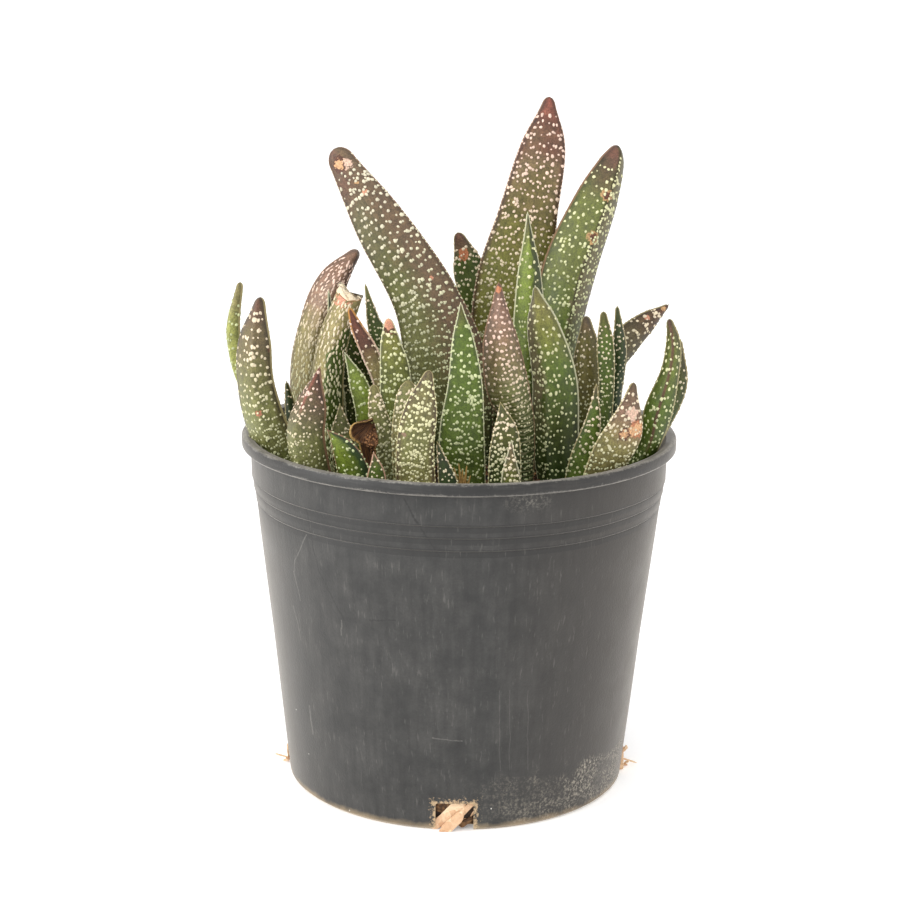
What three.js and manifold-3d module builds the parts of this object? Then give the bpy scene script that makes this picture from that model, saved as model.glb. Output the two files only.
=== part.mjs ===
// A clump of gasteria that fills a round nursery pot, 170 mm across its lip.
// Millimetres, +Z up. The origin is the middle of the pot's flat underside, and -Y is the front.
import * as THREE from "three";
import { ConvexGeometry } from "three/addons/geometries/ConvexGeometry.js";
import { mergeVertices } from "three/addons/utils/BufferGeometryUtils.js";
import Module from "manifold-3d";

const wasm = await Module();
wasm.setup();

const GAP = 0.3;
const UP = new THREE.Vector3(0, 0, 1);

// The pot: a thin tapered wall with a rolled lip, three stepped rings under it and four drain notches.
const POT_HEIGHT = 140;
const LIP_RADIUS = 85;
const LIP_DEPTH = 4;
const WALL_TOP_RADIUS = 81.9;
const BASE_RADIUS = 67.1;
const WALL = 1.3;
const FLOOR = 2.2;
const POT_SIDES = 48;
const RING_HEIGHTS = [114, 119, 123.7];
const RING_STEP = 0.35;
const RING_SLOPE = 0.5;
const LIP_EDGE = 0.8;
const BASE_EDGE = 1.2;
const NOTCH_WIDTH = 14.5;
const NOTCH_HEIGHT = 11.5;
const NOTCH_CORNER = 3;
const NOTCH_INNER_RADIUS = 61;
const NOTCH_CUT_DEPTH = 20;
const NOTCH_CUT_BELOW = 1;

// The mix: bark and soil up to a little below the lip, with loose chips on top and in the notches.
const MIX_TOP = 128;
const MIX_DROP = 1.5;
const CHIP_TRIES = 120;
const CHIP_MARGIN = -0.5;
const CHIP_FIELD_RADIUS = 68;
const CHIP_RISE = 0.6;
const CHIP_SMALLEST = [6, 4, 3];
const CHIP_SPREAD = [6, 3, 1.5];
const CHIP_TILT = 0.7;
const CHIP_CORNER_LOSS = 0.28;
const CHIPS_IN_NOTCH = 4;
const NOTCH_CHIP = [4.6, 4, 4];
const NOTCH_CHIP_HEIGHTS = [4.2, 7.4];

// The plant: its leaf feet sink this far into the mix and stand on crowns with a few fleshy roots.
const FOOT = MIX_TOP - 6;
const CROWN_DEPTH = 16;
const CROWN_RADIUS = 6;
const CROWN_BASE_SIDES = 6;
const CROWN_GROWTH = 2.5;
const CORNER_GROWTH = 1.5;
const SEAT_GAP = 0.4;
const RUNNER_RADIUS = 2.6;
const ROOT_RADII = [2.4, 2.2, 1.7, 1];
const ROOT_SIDES = 5;
const ROOT_END_LOWEST = 30;
const ROOT_END_SPREAD = 40;
const ROOT_SWING = 9;
const ROOT_PULL_IN = 0.35;
const RUNNER_RISE = 4;
const RUNNER_DIP = 3;

// Leaf rings: their spacing, the share of the length where the last stands, and the slant of a cut end.
// A leaf is as deep as its thick where it is widest at the foot, and thins with its width and its length.
const RING_SPACING = 13;
const FEWEST_RINGS = 5;
const TIP_RING = 0.985;
const CUT_SLANT = 7;
const HOLE_RISE = 1.6;
const LEAST_DEPTH = 0.35;
const LENGTH_THINNING = 0.3;
const DEEPEST_FOR_WIDTH = 0.8;

// Skin colour and roughness of each kind of leaf, and of what holds them.
const SKINS = {
  green: [0x5c7a35, 0.5],
  olive: [0x76753f, 0.5],
  purple: [0x6d5259, 0.5],
  dark: [0x33472c, 0.5],
  pale: [0x8c9069, 0.55],
  dead: [0x5a3d22, 0.85],
};
const POT_SKIN = [0x4a4a49, 0.55];
const MIX_SKIN = [0x3a2b1e, 0.95];
const ROOT_SKIN = [0xc2ad84, 0.8];

// Every leaf by its rosette. Its line runs from the foot to the tip: x, y, z and the width there.
// face: the way its flat side looks, in degrees from +X. thick: its depth at the foot.
// keel: where the ridge of the other side runs, -1 to 1 across.
// Some also have turn, how far the face turns on the way up, curl, how far the margins lift by the tip,
// or cut, for a leaf that ends in a slanted cut and not in a tip.
const ROSETTES = {
  middle: {
    tall_middle: { skin: "olive", face: -90, turn: 8, thick: 13, keel: 0.1,
      line: [[20, 11, 122, 24], [20, 14, 166, 31.6], [21.7, 16, 196, 32], [25.8, 18, 222, 24],
        [31.7, 22, 250, 17.8], [33.8, 25, 269, 4]] },
    tall_right: { skin: "green", face: 90, turn: 10, thick: 14, keel: -0.35,
      line: [[33, 6, 122, 20], [37.6, 8, 173, 18.4], [42.6, 12, 203, 21.4], [52.1, 17, 228, 17.6],
        [58.5, 21, 243.5, 10.6], [60.6, 23, 250.7, 4]] },
    tall_left: { skin: "purple", face: -90, turn: -10, thick: 14, keel: 0.1,
      line: [[0, -6, 122, 27], [-4.4, -4, 162, 33.4], [-13.4, -1, 192, 26.2], [-32.2, 5, 222, 20.6],
        [-50, 13, 249, 9.4]] },
    behind_middle: { skin: "dark", face: -100, thick: 6, keel: 0.2,
      line: [[6, 31, 122, 12], [5, 27, 184, 12], [3.2, 28, 200, 13], [-1.6, 29, 214.7, 4]] },
    narrow_green: { skin: "green", face: 90, thick: 8, keel: -0.15,
      line: [[24, -16, 122, 14], [26, -14, 183, 12], [26, -13, 205, 9], [25, -11, 228, 1]] },
  },
  left_inner: {
    curved_left: { skin: "purple", face: 75, thick: 10, keel: -0.4,
      line: [[-55, 6, 122, 15], [-60, 5, 157, 15], [-57, 6, 181, 13], [-50.3, 8, 197.6, 12],
        [-40.6, 13, 209.6, 4]] },
    cut_left: { skin: "pale", face: 80, thick: 10, keel: -0.15, cut: true,
      line: [[-48, -19, 122, 13], [-50.8, -18, 156, 12.8], [-49, -16, 177, 12], [-42.4, -12, 196.6, 10.2]] },
    sliver_left: { skin: "dark", face: 90, thick: 3, keel: 0,
      line: [[-46, -7, 122, 8], [-49, -7, 173, 5], [-51, -5, 196, 1]] },
  },
  left: {
    far_left: { skin: "olive", face: 60, thick: 5, keel: 0.1,
      line: [[-65, 11, 122, 8], [-83.8, 9, 153, 6.4], [-89.4, 8, 176, 6.8], [-86.6, 10, 196.8, 3]] },
    left_large: { skin: "olive", face: 60, thick: 12, keel: -0.4,
      line: [[-63, -17, 122, 17], [-73, -19, 143, 20], [-78, -20, 162, 17.4], [-78.4, -19, 179, 15],
        [-76.2, -16, 195.5, 4]] },
    left_bud: { skin: "dark", face: 90, thick: 3, keel: 0,
      line: [[-62, -1, 122, 6], [-66, -1, 146, 5], [-68, 0, 159, 1.6]] },
  },
  middle_left: {
    thin_dark: { skin: "dark", face: -80, thick: 4, keel: 0,
      line: [[-26, -6, 122, 9], [-31, -4, 173, 8], [-34, -3, 185, 5], [-37, -1, 198, 1]] },
    red_curved: { skin: "purple", face: -90, thick: 5, keel: 0.2,
      line: [[-24, -22, 122, 9], [-29, -23, 159, 6], [-34, -23, 175, 7], [-39, -23, 185, 5],
        [-42, -24, 193, 2]] },
    olive_left: { skin: "olive", face: -90, thick: 7, keel: 0.1,
      line: [[-23, -34, 122, 13], [-24, -34, 166, 12], [-26, -33, 181, 8], [-27, -33, 191, 3]] },
    hidden_left: { skin: "green", face: -80, thick: 7, keel: 0,
      line: [[-34, 9, 122, 13], [-39.4, 8, 150, 13.4], [-41.4, 7, 166, 10], [-43, 6, 177.4, 2]] },
    bright_short: { skin: "green", face: -90, thick: 5, keel: 0.1,
      line: [[-35, -33, 122, 8], [-35, -34, 152, 8], [-38, -35, 166, 7], [-43, -36, 178, 1]] },
  },
  front_left: {
    left_front: { skin: "purple", face: 75, thick: 11, keel: 0.3,
      line: [[-52, -44, 122, 14], [-57, -46, 147, 15], [-55, -45, 160, 12], [-52, -43, 174, 1]] },
    short_green: { skin: "green", face: -100, thick: 7, keel: 0.1,
      line: [[-35, -58, 122, 13], [-39, -58, 139, 12], [-43, -59, 148, 8], [-48, -60, 154, 1]] },
    tiny_front: { skin: "green", face: -90, thick: 4, keel: 0,
      line: [[-31, -65, 122, 8], [-30, -65, 138, 7], [-31, -65, 147, 1]] },
    shaded_left: { skin: "pale", face: -90, thick: 4, keel: 0,
      line: [[-41, -36, 122, 9], [-44, -36, 145, 9], [-45, -35, 158, 1]] },
    blunt_grey: { skin: "pale", face: -90, thick: 4, keel: 0,
      line: [[-25, -44, 122, 11], [-28, -44, 145, 10], [-31, -44, 160, 6], [-32, -44, 168, 3]] },
    dead_curl: { skin: "dead", face: -90, thick: 1.2, keel: 0, curl: 0.7,
      line: [[-32, -48, 122, 4], [-33, -48, 138, 5], [-34, -50, 146, 10], [-35, -52, 151, 11],
        [-35, -51, 156, 8]] },
  },
  front: {
    front_pale: { skin: "pale", face: -90, thick: 8, keel: 0.2,
      line: [[-15, -62, 122, 15], [-16, -62, 148, 14], [-14, -62, 163, 12], [-11, -60, 177, 3]] },
    front_hidden: { skin: "pale", face: -90, thick: 6, keel: 0,
      line: [[-18, -51, 122, 11], [-20, -51, 149, 10], [-19, -51, 164, 9], [-19, -50, 171, 4]] },
    front_green: { skin: "green", face: -90, thick: 9, keel: 0.1,
      line: [[2, -50, 122, 17], [1, -50, 149, 17], [2, -49, 169, 13], [1, -47, 186, 8], [0, -45, 199, 1]] },
    dark_front: { skin: "dark", face: -90, thick: 4, keel: 0,
      line: [[-1, -63, 122, 8], [-4, -62, 136, 7], [-8, -60, 150, 1]] },
  },
  front_right: {
    purple_middle: { skin: "purple", face: 90, thick: 11, keel: -0.2,
      line: [[24, -37, 122, 9], [23, -38, 150, 11], [18, -39, 166, 16], [15, -38, 184, 13],
        [14, -35, 205, 2]] },
    front_brown: { skin: "olive", face: -90, thick: 6, keel: 0.1,
      line: [[17, -55, 122, 12], [17, -56, 142, 12], [17, -56, 154, 9], [15, -55, 164, 1]] },
    front_small: { skin: "pale", face: -90, thick: 4, keel: 0.1,
      line: [[20, -66, 122, 8], [19, -66, 138, 7], [19, -65, 152, 1]] },
  },
  right_front: {
    olive_right: { skin: "olive", face: 90, thick: 12, keel: 0.45,
      line: [[40, -28, 122, 17], [37, -27, 143, 18], [36, -27, 167, 17], [31, -26, 188, 12],
        [28, -24, 202, 2]] },
    right_bud: { skin: "green", face: -90, thick: 7, keel: 0.2,
      line: [[45, -41, 122, 13], [47, -41, 139, 11], [50, -41, 154, 6], [51, -40, 168, 1]] },
    right_scarred: { skin: "pale", face: -65, thick: 8, keel: 0.1,
      line: [[50, -49, 122, 17], [56, -50, 142, 17], [61.3, -50, 154, 15.4], [64.2, -48, 170.8, 2.6]] },
  },
  right: {
    right_behind: { skin: "dark", face: -150, thick: 6, keel: 0,
      line: [[66, 12, 122, 9], [69, 13, 133, 8], [71, 14, 142, 2]] },
    olive_back: { skin: "olive", face: 90, thick: 8, keel: 0.3,
      line: [[50, -12, 122, 12], [49, -12, 156, 12], [49.3, -11, 173, 10.8], [48.4, -9, 188.4, 3]] },
    narrow_right: { skin: "green", face: -90, thick: 5, keel: 0,
      line: [[53, -23, 122, 7], [56, -21, 158, 6], [55.3, -20, 179, 6.6], [54.2, -19, 192, 2.4]] },
    dark_right: { skin: "dark", face: 90, thick: 5, keel: 0,
      line: [[58, -7, 122, 8], [60.2, -8, 155, 5.6], [61.6, -8, 175, 5.8], [60.4, -6, 191.6, 1.6]] },
    outward_right: { skin: "purple", face: 90, thick: 7, keel: 0,
      line: [[50, 8, 122, 10], [56, 8, 158, 9.6], [65, 10, 174, 11.2], [73, 13, 181.7, 8.8],
        [82.4, 17, 188.4, 1.8]] },
    right_curved: { skin: "green", face: 80, thick: 8, keel: 0,
      line: [[63, -22, 122, 10], [73, -23, 141, 8], [76, -23, 154, 11], [80, -22, 169, 7.4],
        [81.2, -20, 180, 5.8], [79.4, -18, 189.3, 2.4]] },
    right_outer: { skin: "olive", face: 80, thick: 5, keel: 0,
      line: [[67, -8, 122, 7], [77, -11, 142, 6], [85, -9, 161, 6.4], [85.4, -6, 178.6, 1.6]] },
  },
  back_left: {
    back_left_broad: { skin: "green", face: -45, thick: 8, keel: 0.2,
      line: [[-44, 38, 122, 13], [-50, 44, 140, 13], [-54, 49, 152, 9], [-57, 52, 162, 2]] },
    back_left_upright: { skin: "dark", face: -60, thick: 7, keel: 0,
      line: [[-35, 26, 122, 12], [-36, 28, 142, 12], [-37, 30, 155, 8], [-37, 31, 164, 2]] },
    back_left_low: { skin: "olive", face: -70, thick: 7, keel: 0,
      line: [[-29, 46, 122, 11], [-31, 51, 138, 11], [-33, 55, 150, 2]] },
    back_left_outer: { skin: "purple", face: -25, thick: 6, keel: 0,
      line: [[-56, 24, 122, 10], [-62, 27, 134, 9], [-66, 29, 144, 2]] },
  },
  back_middle: {
    inner_left: { skin: "dark", face: -80, thick: 9, keel: 0.1,
      line: [[-8, 17, 122, 15], [-9, 19, 152, 14], [-10, 21, 172, 10], [-11, 22, 182, 2]] },
    inner_low: { skin: "olive", face: -80, thick: 8, keel: -0.2,
      line: [[-19, 32, 122, 14], [-19, 33, 150, 13], [-18, 35, 166, 3]] },
    inner_right: { skin: "purple", face: -100, thick: 9, keel: 0.1,
      line: [[21, 38, 122, 15], [20, 40, 150, 15], [19, 41, 170, 11], [18, 42, 183, 2]] },
    inner_small: { skin: "green", face: -95, thick: 8, keel: 0,
      line: [[28, 23, 122, 13], [29, 25, 150, 12], [30, 26, 168, 3]] },
  },
  back: {
    back_tall: { skin: "green", face: -90, thick: 9, keel: 0.2,
      line: [[2, 48, 122, 14], [2, 50, 145, 14], [1, 52, 163, 9], [0, 54, 176, 2]] },
    back_middle_left: { skin: "olive", face: -80, thick: 7, keel: 0,
      line: [[-12, 52, 122, 12], [-14, 56, 140, 12], [-16, 60, 155, 8], [-18, 62, 164, 2]] },
    back_middle_right: { skin: "dark", face: -100, thick: 7, keel: 0,
      line: [[20, 53, 122, 12], [23, 58, 140, 12], [25, 62, 154, 8], [26, 64, 163, 2]] },
    back_rim: { skin: "purple", face: -90, thick: 7, keel: 0.2,
      line: [[4, 65, 122, 12], [5, 70, 138, 11], [6, 74, 150, 7], [7, 77, 158, 2]] },
  },
  back_right: {
    back_right_upright: { skin: "green", face: -110, thick: 7, keel: 0,
      line: [[34, 32, 122, 13], [36, 35, 145, 12], [37, 37, 160, 8], [38, 38, 170, 2]] },
    back_right_broad: { skin: "olive", face: -135, thick: 8, keel: -0.2,
      line: [[45, 42, 122, 13], [49, 47, 140, 13], [52, 50, 152, 9], [54, 52, 160, 2]] },
    back_right_low: { skin: "green", face: -110, thick: 6, keel: 0,
      line: [[33, 52, 122, 11], [35, 57, 137, 11], [37, 61, 149, 2]] },
    back_right_inner: { skin: "olive", face: -110, thick: 8, keel: 0.1,
      line: [[46, 21, 122, 13], [47, 23, 146, 12], [47, 24, 160, 2]] },
    back_right_outer: { skin: "purple", face: -155, thick: 6, keel: 0,
      line: [[56, 25, 122, 10], [61, 28, 134, 10], [65, 30, 147, 2]] },
  },
};

// One half-section of a leaf from margin to margin: how far across, and how far out of the middle.
const FLAT_SIDE = [[-0.6, 0.16], [0, 0.22], [0.6, 0.16]];
const KEEL_SIDE = [[0.55, -0.5], [0, -0.78], [-0.55, -0.5]];

// The plainer half-sections of the hole that a foot stands in: no narrower anywhere than the leaf's.
const HOLE_FLAT_SIDE = [[-0.6, 0.22], [0.6, 0.22]];
const HOLE_KEEL_SIDE = [[0.6, -0.78], [-0.6, -0.78]];

// A repeatable run of numbers from 0 to 1.
function seededRandom(seed) {
  let state = seed;
  return () => {
    state = (state * 1664525 + 1013904223) % 4294967296;
    return state / 4294967296;
  };
}

function geometryFrom(positions, triangles) {
  const geometry = new THREE.BufferGeometry();
  geometry.setAttribute("position", new THREE.Float32BufferAttribute(positions, 3));
  geometry.setIndex(triangles);
  return geometry;
}

// A geometry as a manifold-3d solid, with its shared corners merged.
function solid(geometry) {
  const bare = geometry.clone();
  bare.deleteAttribute("normal");
  bare.deleteAttribute("uv");
  const merged = mergeVertices(bare, 1e-4);
  const vertProperties = new Float32Array(merged.attributes.position.array);
  const triVerts = new Uint32Array(merged.index.array);
  return new wasm.Manifold(new wasm.Mesh({ numProp: 3, vertProperties, triVerts }));
}

function geometryOf(manifold) {
  const mesh = manifold.getMesh();
  return geometryFrom(Array.from(mesh.vertProperties), Array.from(mesh.triVerts));
}

// A closed body through rings of points. A ring runs along the flat side and back along the keel side,
// so both ends close between the two sides; with an apex, the last ring closes to that point instead.
function loft(rings, apex) {
  const count = rings[0].length;
  const half = count / 2;
  const positions = rings.flat().flatMap((point) => point.toArray());
  const triangles = [];
  rings.slice(1).forEach((_, row) => {
    for (let i = 0; i < count; i += 1) {
      const next = (i + 1) % count;
      const low = row * count;
      const high = low + count;
      triangles.push(low + i, low + next, high + next, low + i, high + next, high + i);
    }
  });
  const closeBetweenSides = (start, looksUp) => {
    for (let i = 0; i < half; i += 1) {
      const facing = count - i - 1;
      const pair = [[i, i + 1, facing], [i, facing, (facing + 1) % count]];
      pair.filter((corners) => new Set(corners).size === 3).forEach(([a, b, c]) => {
        const turned = looksUp ? [a, b, c] : [a, c, b];
        triangles.push(...turned.map((corner) => start + corner));
      });
    }
  };
  closeBetweenSides(0, false);
  const last = (rings.length - 1) * count;
  if (apex) {
    positions.push(...apex.toArray());
    for (let i = 0; i < count; i += 1) {
      triangles.push(last + i, last + ((i + 1) % count), last + count);
    }
  } else {
    closeBetweenSides(last, true);
  }
  return geometryFrom(positions, triangles);
}

// The rings of a leaf in a section of margins, flat side and keel side, pushed out by grow on every side.
function leafRings(plan, flatSide, keelSide, grow) {
  const line = new THREE.CatmullRomCurve3(
    plan.line.map(([x, y, z]) => new THREE.Vector3(x, y, z)), false, "catmullrom", 0.5);
  const widths = new THREE.SplineCurve(plan.line.map((station, i) => new THREE.Vector2(i, station[3])));
  const widest = Math.max(...plan.line.map((station) => station[3]));
  const steps = Math.max(FEWEST_RINGS, Math.round(line.getLength() / RING_SPACING));
  const rings = [];
  for (let i = 0; i <= steps; i += 1) {
    const t = i < steps ? i / steps : TIP_RING;
    const along = line.getTangent(t);
    const heading = THREE.MathUtils.degToRad(plan.face + (plan.turn ?? 0) * t);
    const out = new THREE.Vector3(Math.cos(heading), Math.sin(heading), 0);
    out.addScaledVector(along, -out.dot(along)).normalize();
    const across = new THREE.Vector3().crossVectors(along, out);
    const width = widths.getPoint(t).y;
    const fullness = LEAST_DEPTH + (1 - LEAST_DEPTH) * (width / widest);
    const depth = Math.min(plan.thick * fullness * (1 - LENGTH_THINNING * t), DEEPEST_FOR_WIDTH * width);
    const halfWidth = width / 2;
    const ridge = keelSide.map(([a, b]) => [a + (1 - Math.abs(a)) * plan.keel, b]);
    const section = [[-1, 0], ...flatSide, [1, 0], ...ridge];
    const centre = line.getPoint(t);
    const slant = plan.cut && i === steps ? CUT_SLANT : 0;
    rings.push(section.map(([a, b]) => {
      const lift = (plan.curl ?? 0) * t * halfWidth * a * a;
      const side = a * halfWidth + Math.sign(a) * grow * Math.min(1, Math.abs(a) * 2);
      const through = b * depth + Math.sign(b) * grow + lift;
      return centre.clone().addScaledVector(across, side).addScaledVector(out, through)
        .addScaledVector(along, slant * b);
    }));
  }
  const rise = line.getTangent(0);
  rings[0].forEach((point) => point.addScaledVector(rise, (FOOT - grow - point.z) / rise.z));
  return { rings, tip: line.getPoint(1) };
}

function leafGeometry(plan) {
  const { rings, tip } = leafRings(plan, FLAT_SIDE, KEEL_SIDE, 0);
  return plan.cut ? loft(rings) : loft(rings, tip);
}

// The hole that a leaf's foot stands in, up to its first ring that is clear of the mix.
function footHole(plan) {
  const { rings } = leafRings(plan, HOLE_FLAT_SIDE, HOLE_KEEL_SIDE, GAP);
  const clear = rings.findIndex((ring) => Math.min(...ring.map((point) => point.z)) > MIX_TOP + HOLE_RISE);
  return solid(loft(rings.slice(0, clear + 1)));
}

// A root or runner through the given points, with a radius at each. Its few flat sides are pushed out
// by at least grow when its corners go out by CORNER_GROWTH times that.
function bar(points, radii, grow) {
  const line = new THREE.CatmullRomCurve3(points, false, "catmullrom", 0.5);
  const last = points.length - 1;
  const rings = points.map((_, i) => {
    const along = line.getTangent(i / last);
    const out = new THREE.Vector3(1, 0.3, 0).cross(along).normalize();
    const across = new THREE.Vector3().crossVectors(along, out);
    const radius = radii[i] + CORNER_GROWTH * grow;
    const endShift = (Number(i === last) - Number(i === 0)) * CORNER_GROWTH * grow;
    return Array.from({ length: ROOT_SIDES }, (_, side) => {
      const angle = (side / ROOT_SIDES) * 2 * Math.PI;
      return points[i].clone()
        .addScaledVector(along, endShift)
        .addScaledVector(across, -radius * Math.cos(angle))
        .addScaledVector(out, radius * Math.sin(angle));
    });
  });
  return solid(loft(rings));
}

// The middle of a rosette's leaf feet.
function rosetteMiddle(leaves) {
  const feet = Object.values(leaves).map((plan) => plan.line[0]);
  const mean = (axis) => feet.reduce((sum, foot) => sum + foot[axis], 0) / feet.length;
  return new THREE.Vector2(mean(0), mean(1));
}

// A squat crown under a rosette: the hull of the outlines of its leaf feet and a smaller ring deeper down.
function crown(leaves, grow) {
  const seats = Object.values(leaves).flatMap((plan) => {
    const foot = leafRings(plan, HOLE_FLAT_SIDE, HOLE_KEEL_SIDE, 0).rings[0];
    const centre = new THREE.Vector3(plan.line[0][0], plan.line[0][1], FOOT);
    return foot.map((point) => {
      const outward = point.clone().sub(centre).normalize();
      return point.clone().addScaledVector(outward, CROWN_GROWTH * grow).setZ(FOOT - SEAT_GAP + grow);
    });
  });
  const { x, y } = rosetteMiddle(leaves);
  const base = Array.from({ length: CROWN_BASE_SIDES }, (_, side) => {
    const angle = (side / CROWN_BASE_SIDES) * 2 * Math.PI;
    const radius = CROWN_RADIUS + CROWN_GROWTH * grow;
    return new THREE.Vector3(
      x + radius * Math.cos(angle), y + radius * Math.sin(angle), FOOT - CROWN_DEPTH - grow);
  });
  return solid(new ConvexGeometry([...seats, ...base]));
}

// Crowns, the runners that join them to the middle one, and fleshy roots that hang into the mix.
function rootstock(grow = 0) {
  const random = seededRandom(7);
  const level = FOOT - CROWN_DEPTH + RUNNER_RISE;
  const hub = rosetteMiddle(ROSETTES.middle);
  const at = (point, z) => new THREE.Vector3(point.x, point.y, z);
  let stock = crown(ROSETTES.middle, grow);
  Object.entries(ROSETTES).forEach(([name, leaves]) => {
    const centre = rosetteMiddle(leaves);
    if (name !== "middle") {
      const ends = [at(centre, level), at(hub, level - RUNNER_DIP)];
      const runner = bar(ends, [RUNNER_RADIUS, RUNNER_RADIUS], grow);
      stock = stock.add(crown(leaves, grow)).add(runner);
    }
    const swing = new THREE.Vector2(1, 0).rotateAround(new THREE.Vector2(), random() * 2 * Math.PI);
    const end = ROOT_END_LOWEST + ROOT_END_SPREAD * random();
    const points = ROOT_RADII.map((_, i) => {
      const share = i / (ROOT_RADII.length - 1);
      const swung = centre.clone().multiplyScalar(1 - ROOT_PULL_IN * share);
      swung.addScaledVector(swing, ROOT_SWING * share * (2 - share));
      return at(swung, level + (end - level) * share);
    });
    stock = stock.add(bar(points, ROOT_RADII, grow));
  });
  return stock;
}

// The wall's outer radius at a height.
function wallRadius(z) {
  return BASE_RADIUS + (WALL_TOP_RADIUS - BASE_RADIUS) * (z / (POT_HEIGHT - LIP_DEPTH));
}

function lathe(profile, sides) {
  const geometry = new THREE.LatheGeometry(profile.map(([r, z]) => new THREE.Vector2(r, z)), sides);
  geometry.rotateX(Math.PI / 2);
  return geometry;
}

// The drain notches: an arch-topped opening at the foot of the wall on each of the four sides.
function notchCutters() {
  const half = NOTCH_WIDTH / 2;
  const shape = new THREE.Shape();
  shape.moveTo(-half, -NOTCH_CUT_BELOW);
  shape.lineTo(half, -NOTCH_CUT_BELOW);
  shape.lineTo(half, NOTCH_HEIGHT - NOTCH_CORNER);
  shape.absarc(half - NOTCH_CORNER, NOTCH_HEIGHT - NOTCH_CORNER, NOTCH_CORNER, 0, Math.PI / 2, false);
  shape.absarc(NOTCH_CORNER - half, NOTCH_HEIGHT - NOTCH_CORNER, NOTCH_CORNER, Math.PI / 2, Math.PI, false);
  shape.closePath();
  return [0, 1, 2, 3].map((quarter) => {
    const cutter = new THREE.ExtrudeGeometry(
      shape, { depth: NOTCH_CUT_DEPTH, bevelEnabled: false, curveSegments: 3 });
    cutter.rotateX(Math.PI / 2);
    cutter.translate(0, -NOTCH_INNER_RADIUS, 0);
    cutter.rotateZ((quarter * Math.PI) / 2);
    return solid(cutter);
  });
}

function potGeometry() {
  const underLip = POT_HEIGHT - LIP_DEPTH;
  const rings = RING_HEIGHTS.flatMap((z, i) => [
    [wallRadius(z) + RING_STEP * i, z],
    [wallRadius(z) + RING_STEP * (i + 1), z + RING_SLOPE],
  ]);
  const profile = [
    [0, 0],
    [BASE_RADIUS - BASE_EDGE, 0],
    [wallRadius(BASE_EDGE), BASE_EDGE],
    ...rings,
    [WALL_TOP_RADIUS, underLip],
    [LIP_RADIUS - LIP_EDGE, underLip],
    [LIP_RADIUS, underLip + LIP_EDGE],
    [LIP_RADIUS, POT_HEIGHT - LIP_EDGE],
    [LIP_RADIUS - LIP_EDGE, POT_HEIGHT],
    [WALL_TOP_RADIUS, POT_HEIGHT - LIP_EDGE],
    [WALL_TOP_RADIUS - WALL, underLip],
    [BASE_RADIUS - WALL, FLOOR],
    [0, FLOOR],
  ];
  const shell = solid(lathe(profile, POT_SIDES));
  return geometryOf(notchCutters().reduce((pot, cutter) => pot.subtract(cutter), shell));
}

// A flake of bark with uneven corners, which lies about flat and turned any way.
function barkChip(random, centre, size) {
  const chip = new THREE.BoxGeometry(...size);
  chip.deleteAttribute("normal");
  chip.deleteAttribute("uv");
  const flake = mergeVertices(chip);
  const corners = flake.attributes.position;
  for (let i = 0; i < corners.count; i += 1) {
    const shrink = () => 1 - CHIP_CORNER_LOSS * random();
    corners.setXYZ(i, corners.getX(i) * shrink(), corners.getY(i) * shrink(), corners.getZ(i) * shrink());
  }
  flake.rotateX((random() - 0.5) * CHIP_TILT);
  flake.rotateY((random() - 0.5) * CHIP_TILT);
  flake.rotateZ(random() * Math.PI);
  flake.translate(centre.x, centre.y, centre.z);
  return solid(flake);
}

// Loose chips on top of the mix, wherever one lies clear of every leaf foot.
function topChips(random) {
  const feet = everyLeaf().map(([, plan]) => plan.line[0]);
  const chips = [];
  for (let tries = 0; tries < CHIP_TRIES; tries += 1) {
    const reach = CHIP_FIELD_RADIUS * Math.sqrt(random());
    const heading = random() * 2 * Math.PI;
    const centre = new THREE.Vector3(reach, 0, MIX_TOP + CHIP_RISE).applyAxisAngle(UP, heading);
    const size = CHIP_SMALLEST.map((least, axis) => least + CHIP_SPREAD[axis] * random());
    const isClear = feet.every(([x, y, , width]) =>
      Math.hypot(x - centre.x, y - centre.y) > (width + size[0]) / 2 + CHIP_MARGIN);
    if (isClear) {
      chips.push(barkChip(random, centre, size));
    }
  }
  return chips;
}

// Chips that show in the drain notches and stay inside the wall.
function notchChips(random) {
  const reach = BASE_RADIUS - WALL - NOTCH_CHIP[1] / 2;
  return [0, 1, 2, 3].flatMap((quarter) => Array.from({ length: CHIPS_IN_NOTCH }, (_, i) => {
    const side = (i / (CHIPS_IN_NOTCH - 1) - 0.5) * (NOTCH_WIDTH - 2 * NOTCH_CHIP[0]);
    const centre = new THREE.Vector3(reach, side, NOTCH_CHIP_HEIGHTS[i % 2]);
    centre.applyAxisAngle(UP, (quarter * Math.PI) / 2);
    return barkChip(random, centre, NOTCH_CHIP);
  }));
}

// The mix as one body: filled to the wall, with chips, the rootstock's space and the leaf holes.
function mixGeometry() {
  const random = seededRandom(42);
  const inner = (z) => wallRadius(z) - WALL - GAP;
  const profile = [
    [0, FLOOR + GAP],
    [inner(FLOOR), FLOOR + GAP],
    [inner(MIX_TOP - MIX_DROP), MIX_TOP - MIX_DROP],
    [inner(MIX_TOP) - 2 * MIX_DROP, MIX_TOP],
    [0, MIX_TOP],
  ];
  let mix = solid(lathe(profile, POT_SIDES));
  [...topChips(random), ...notchChips(random)].forEach((chip) => {
    mix = mix.add(chip);
  });
  mix = mix.subtract(rootstock(GAP));
  everyLeaf().forEach(([, plan]) => {
    mix = mix.subtract(footHole(plan));
  });
  const [body] = mix.decompose().sort((a, b) => b.numTri() - a.numTri());
  return geometryOf(body);
}

function everyLeaf() {
  return Object.values(ROSETTES).flatMap((leaves) => Object.entries(leaves));
}

function addPiece(group, name, geometry, [colour, roughness]) {
  const bare = geometry.clone();
  bare.deleteAttribute("uv");
  bare.computeVertexNormals();
  const material = new THREE.MeshStandardMaterial({ color: colour, roughness, metalness: 0 });
  const mesh = new THREE.Mesh(bare, material);
  mesh.name = name;
  group.add(mesh);
}

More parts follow.
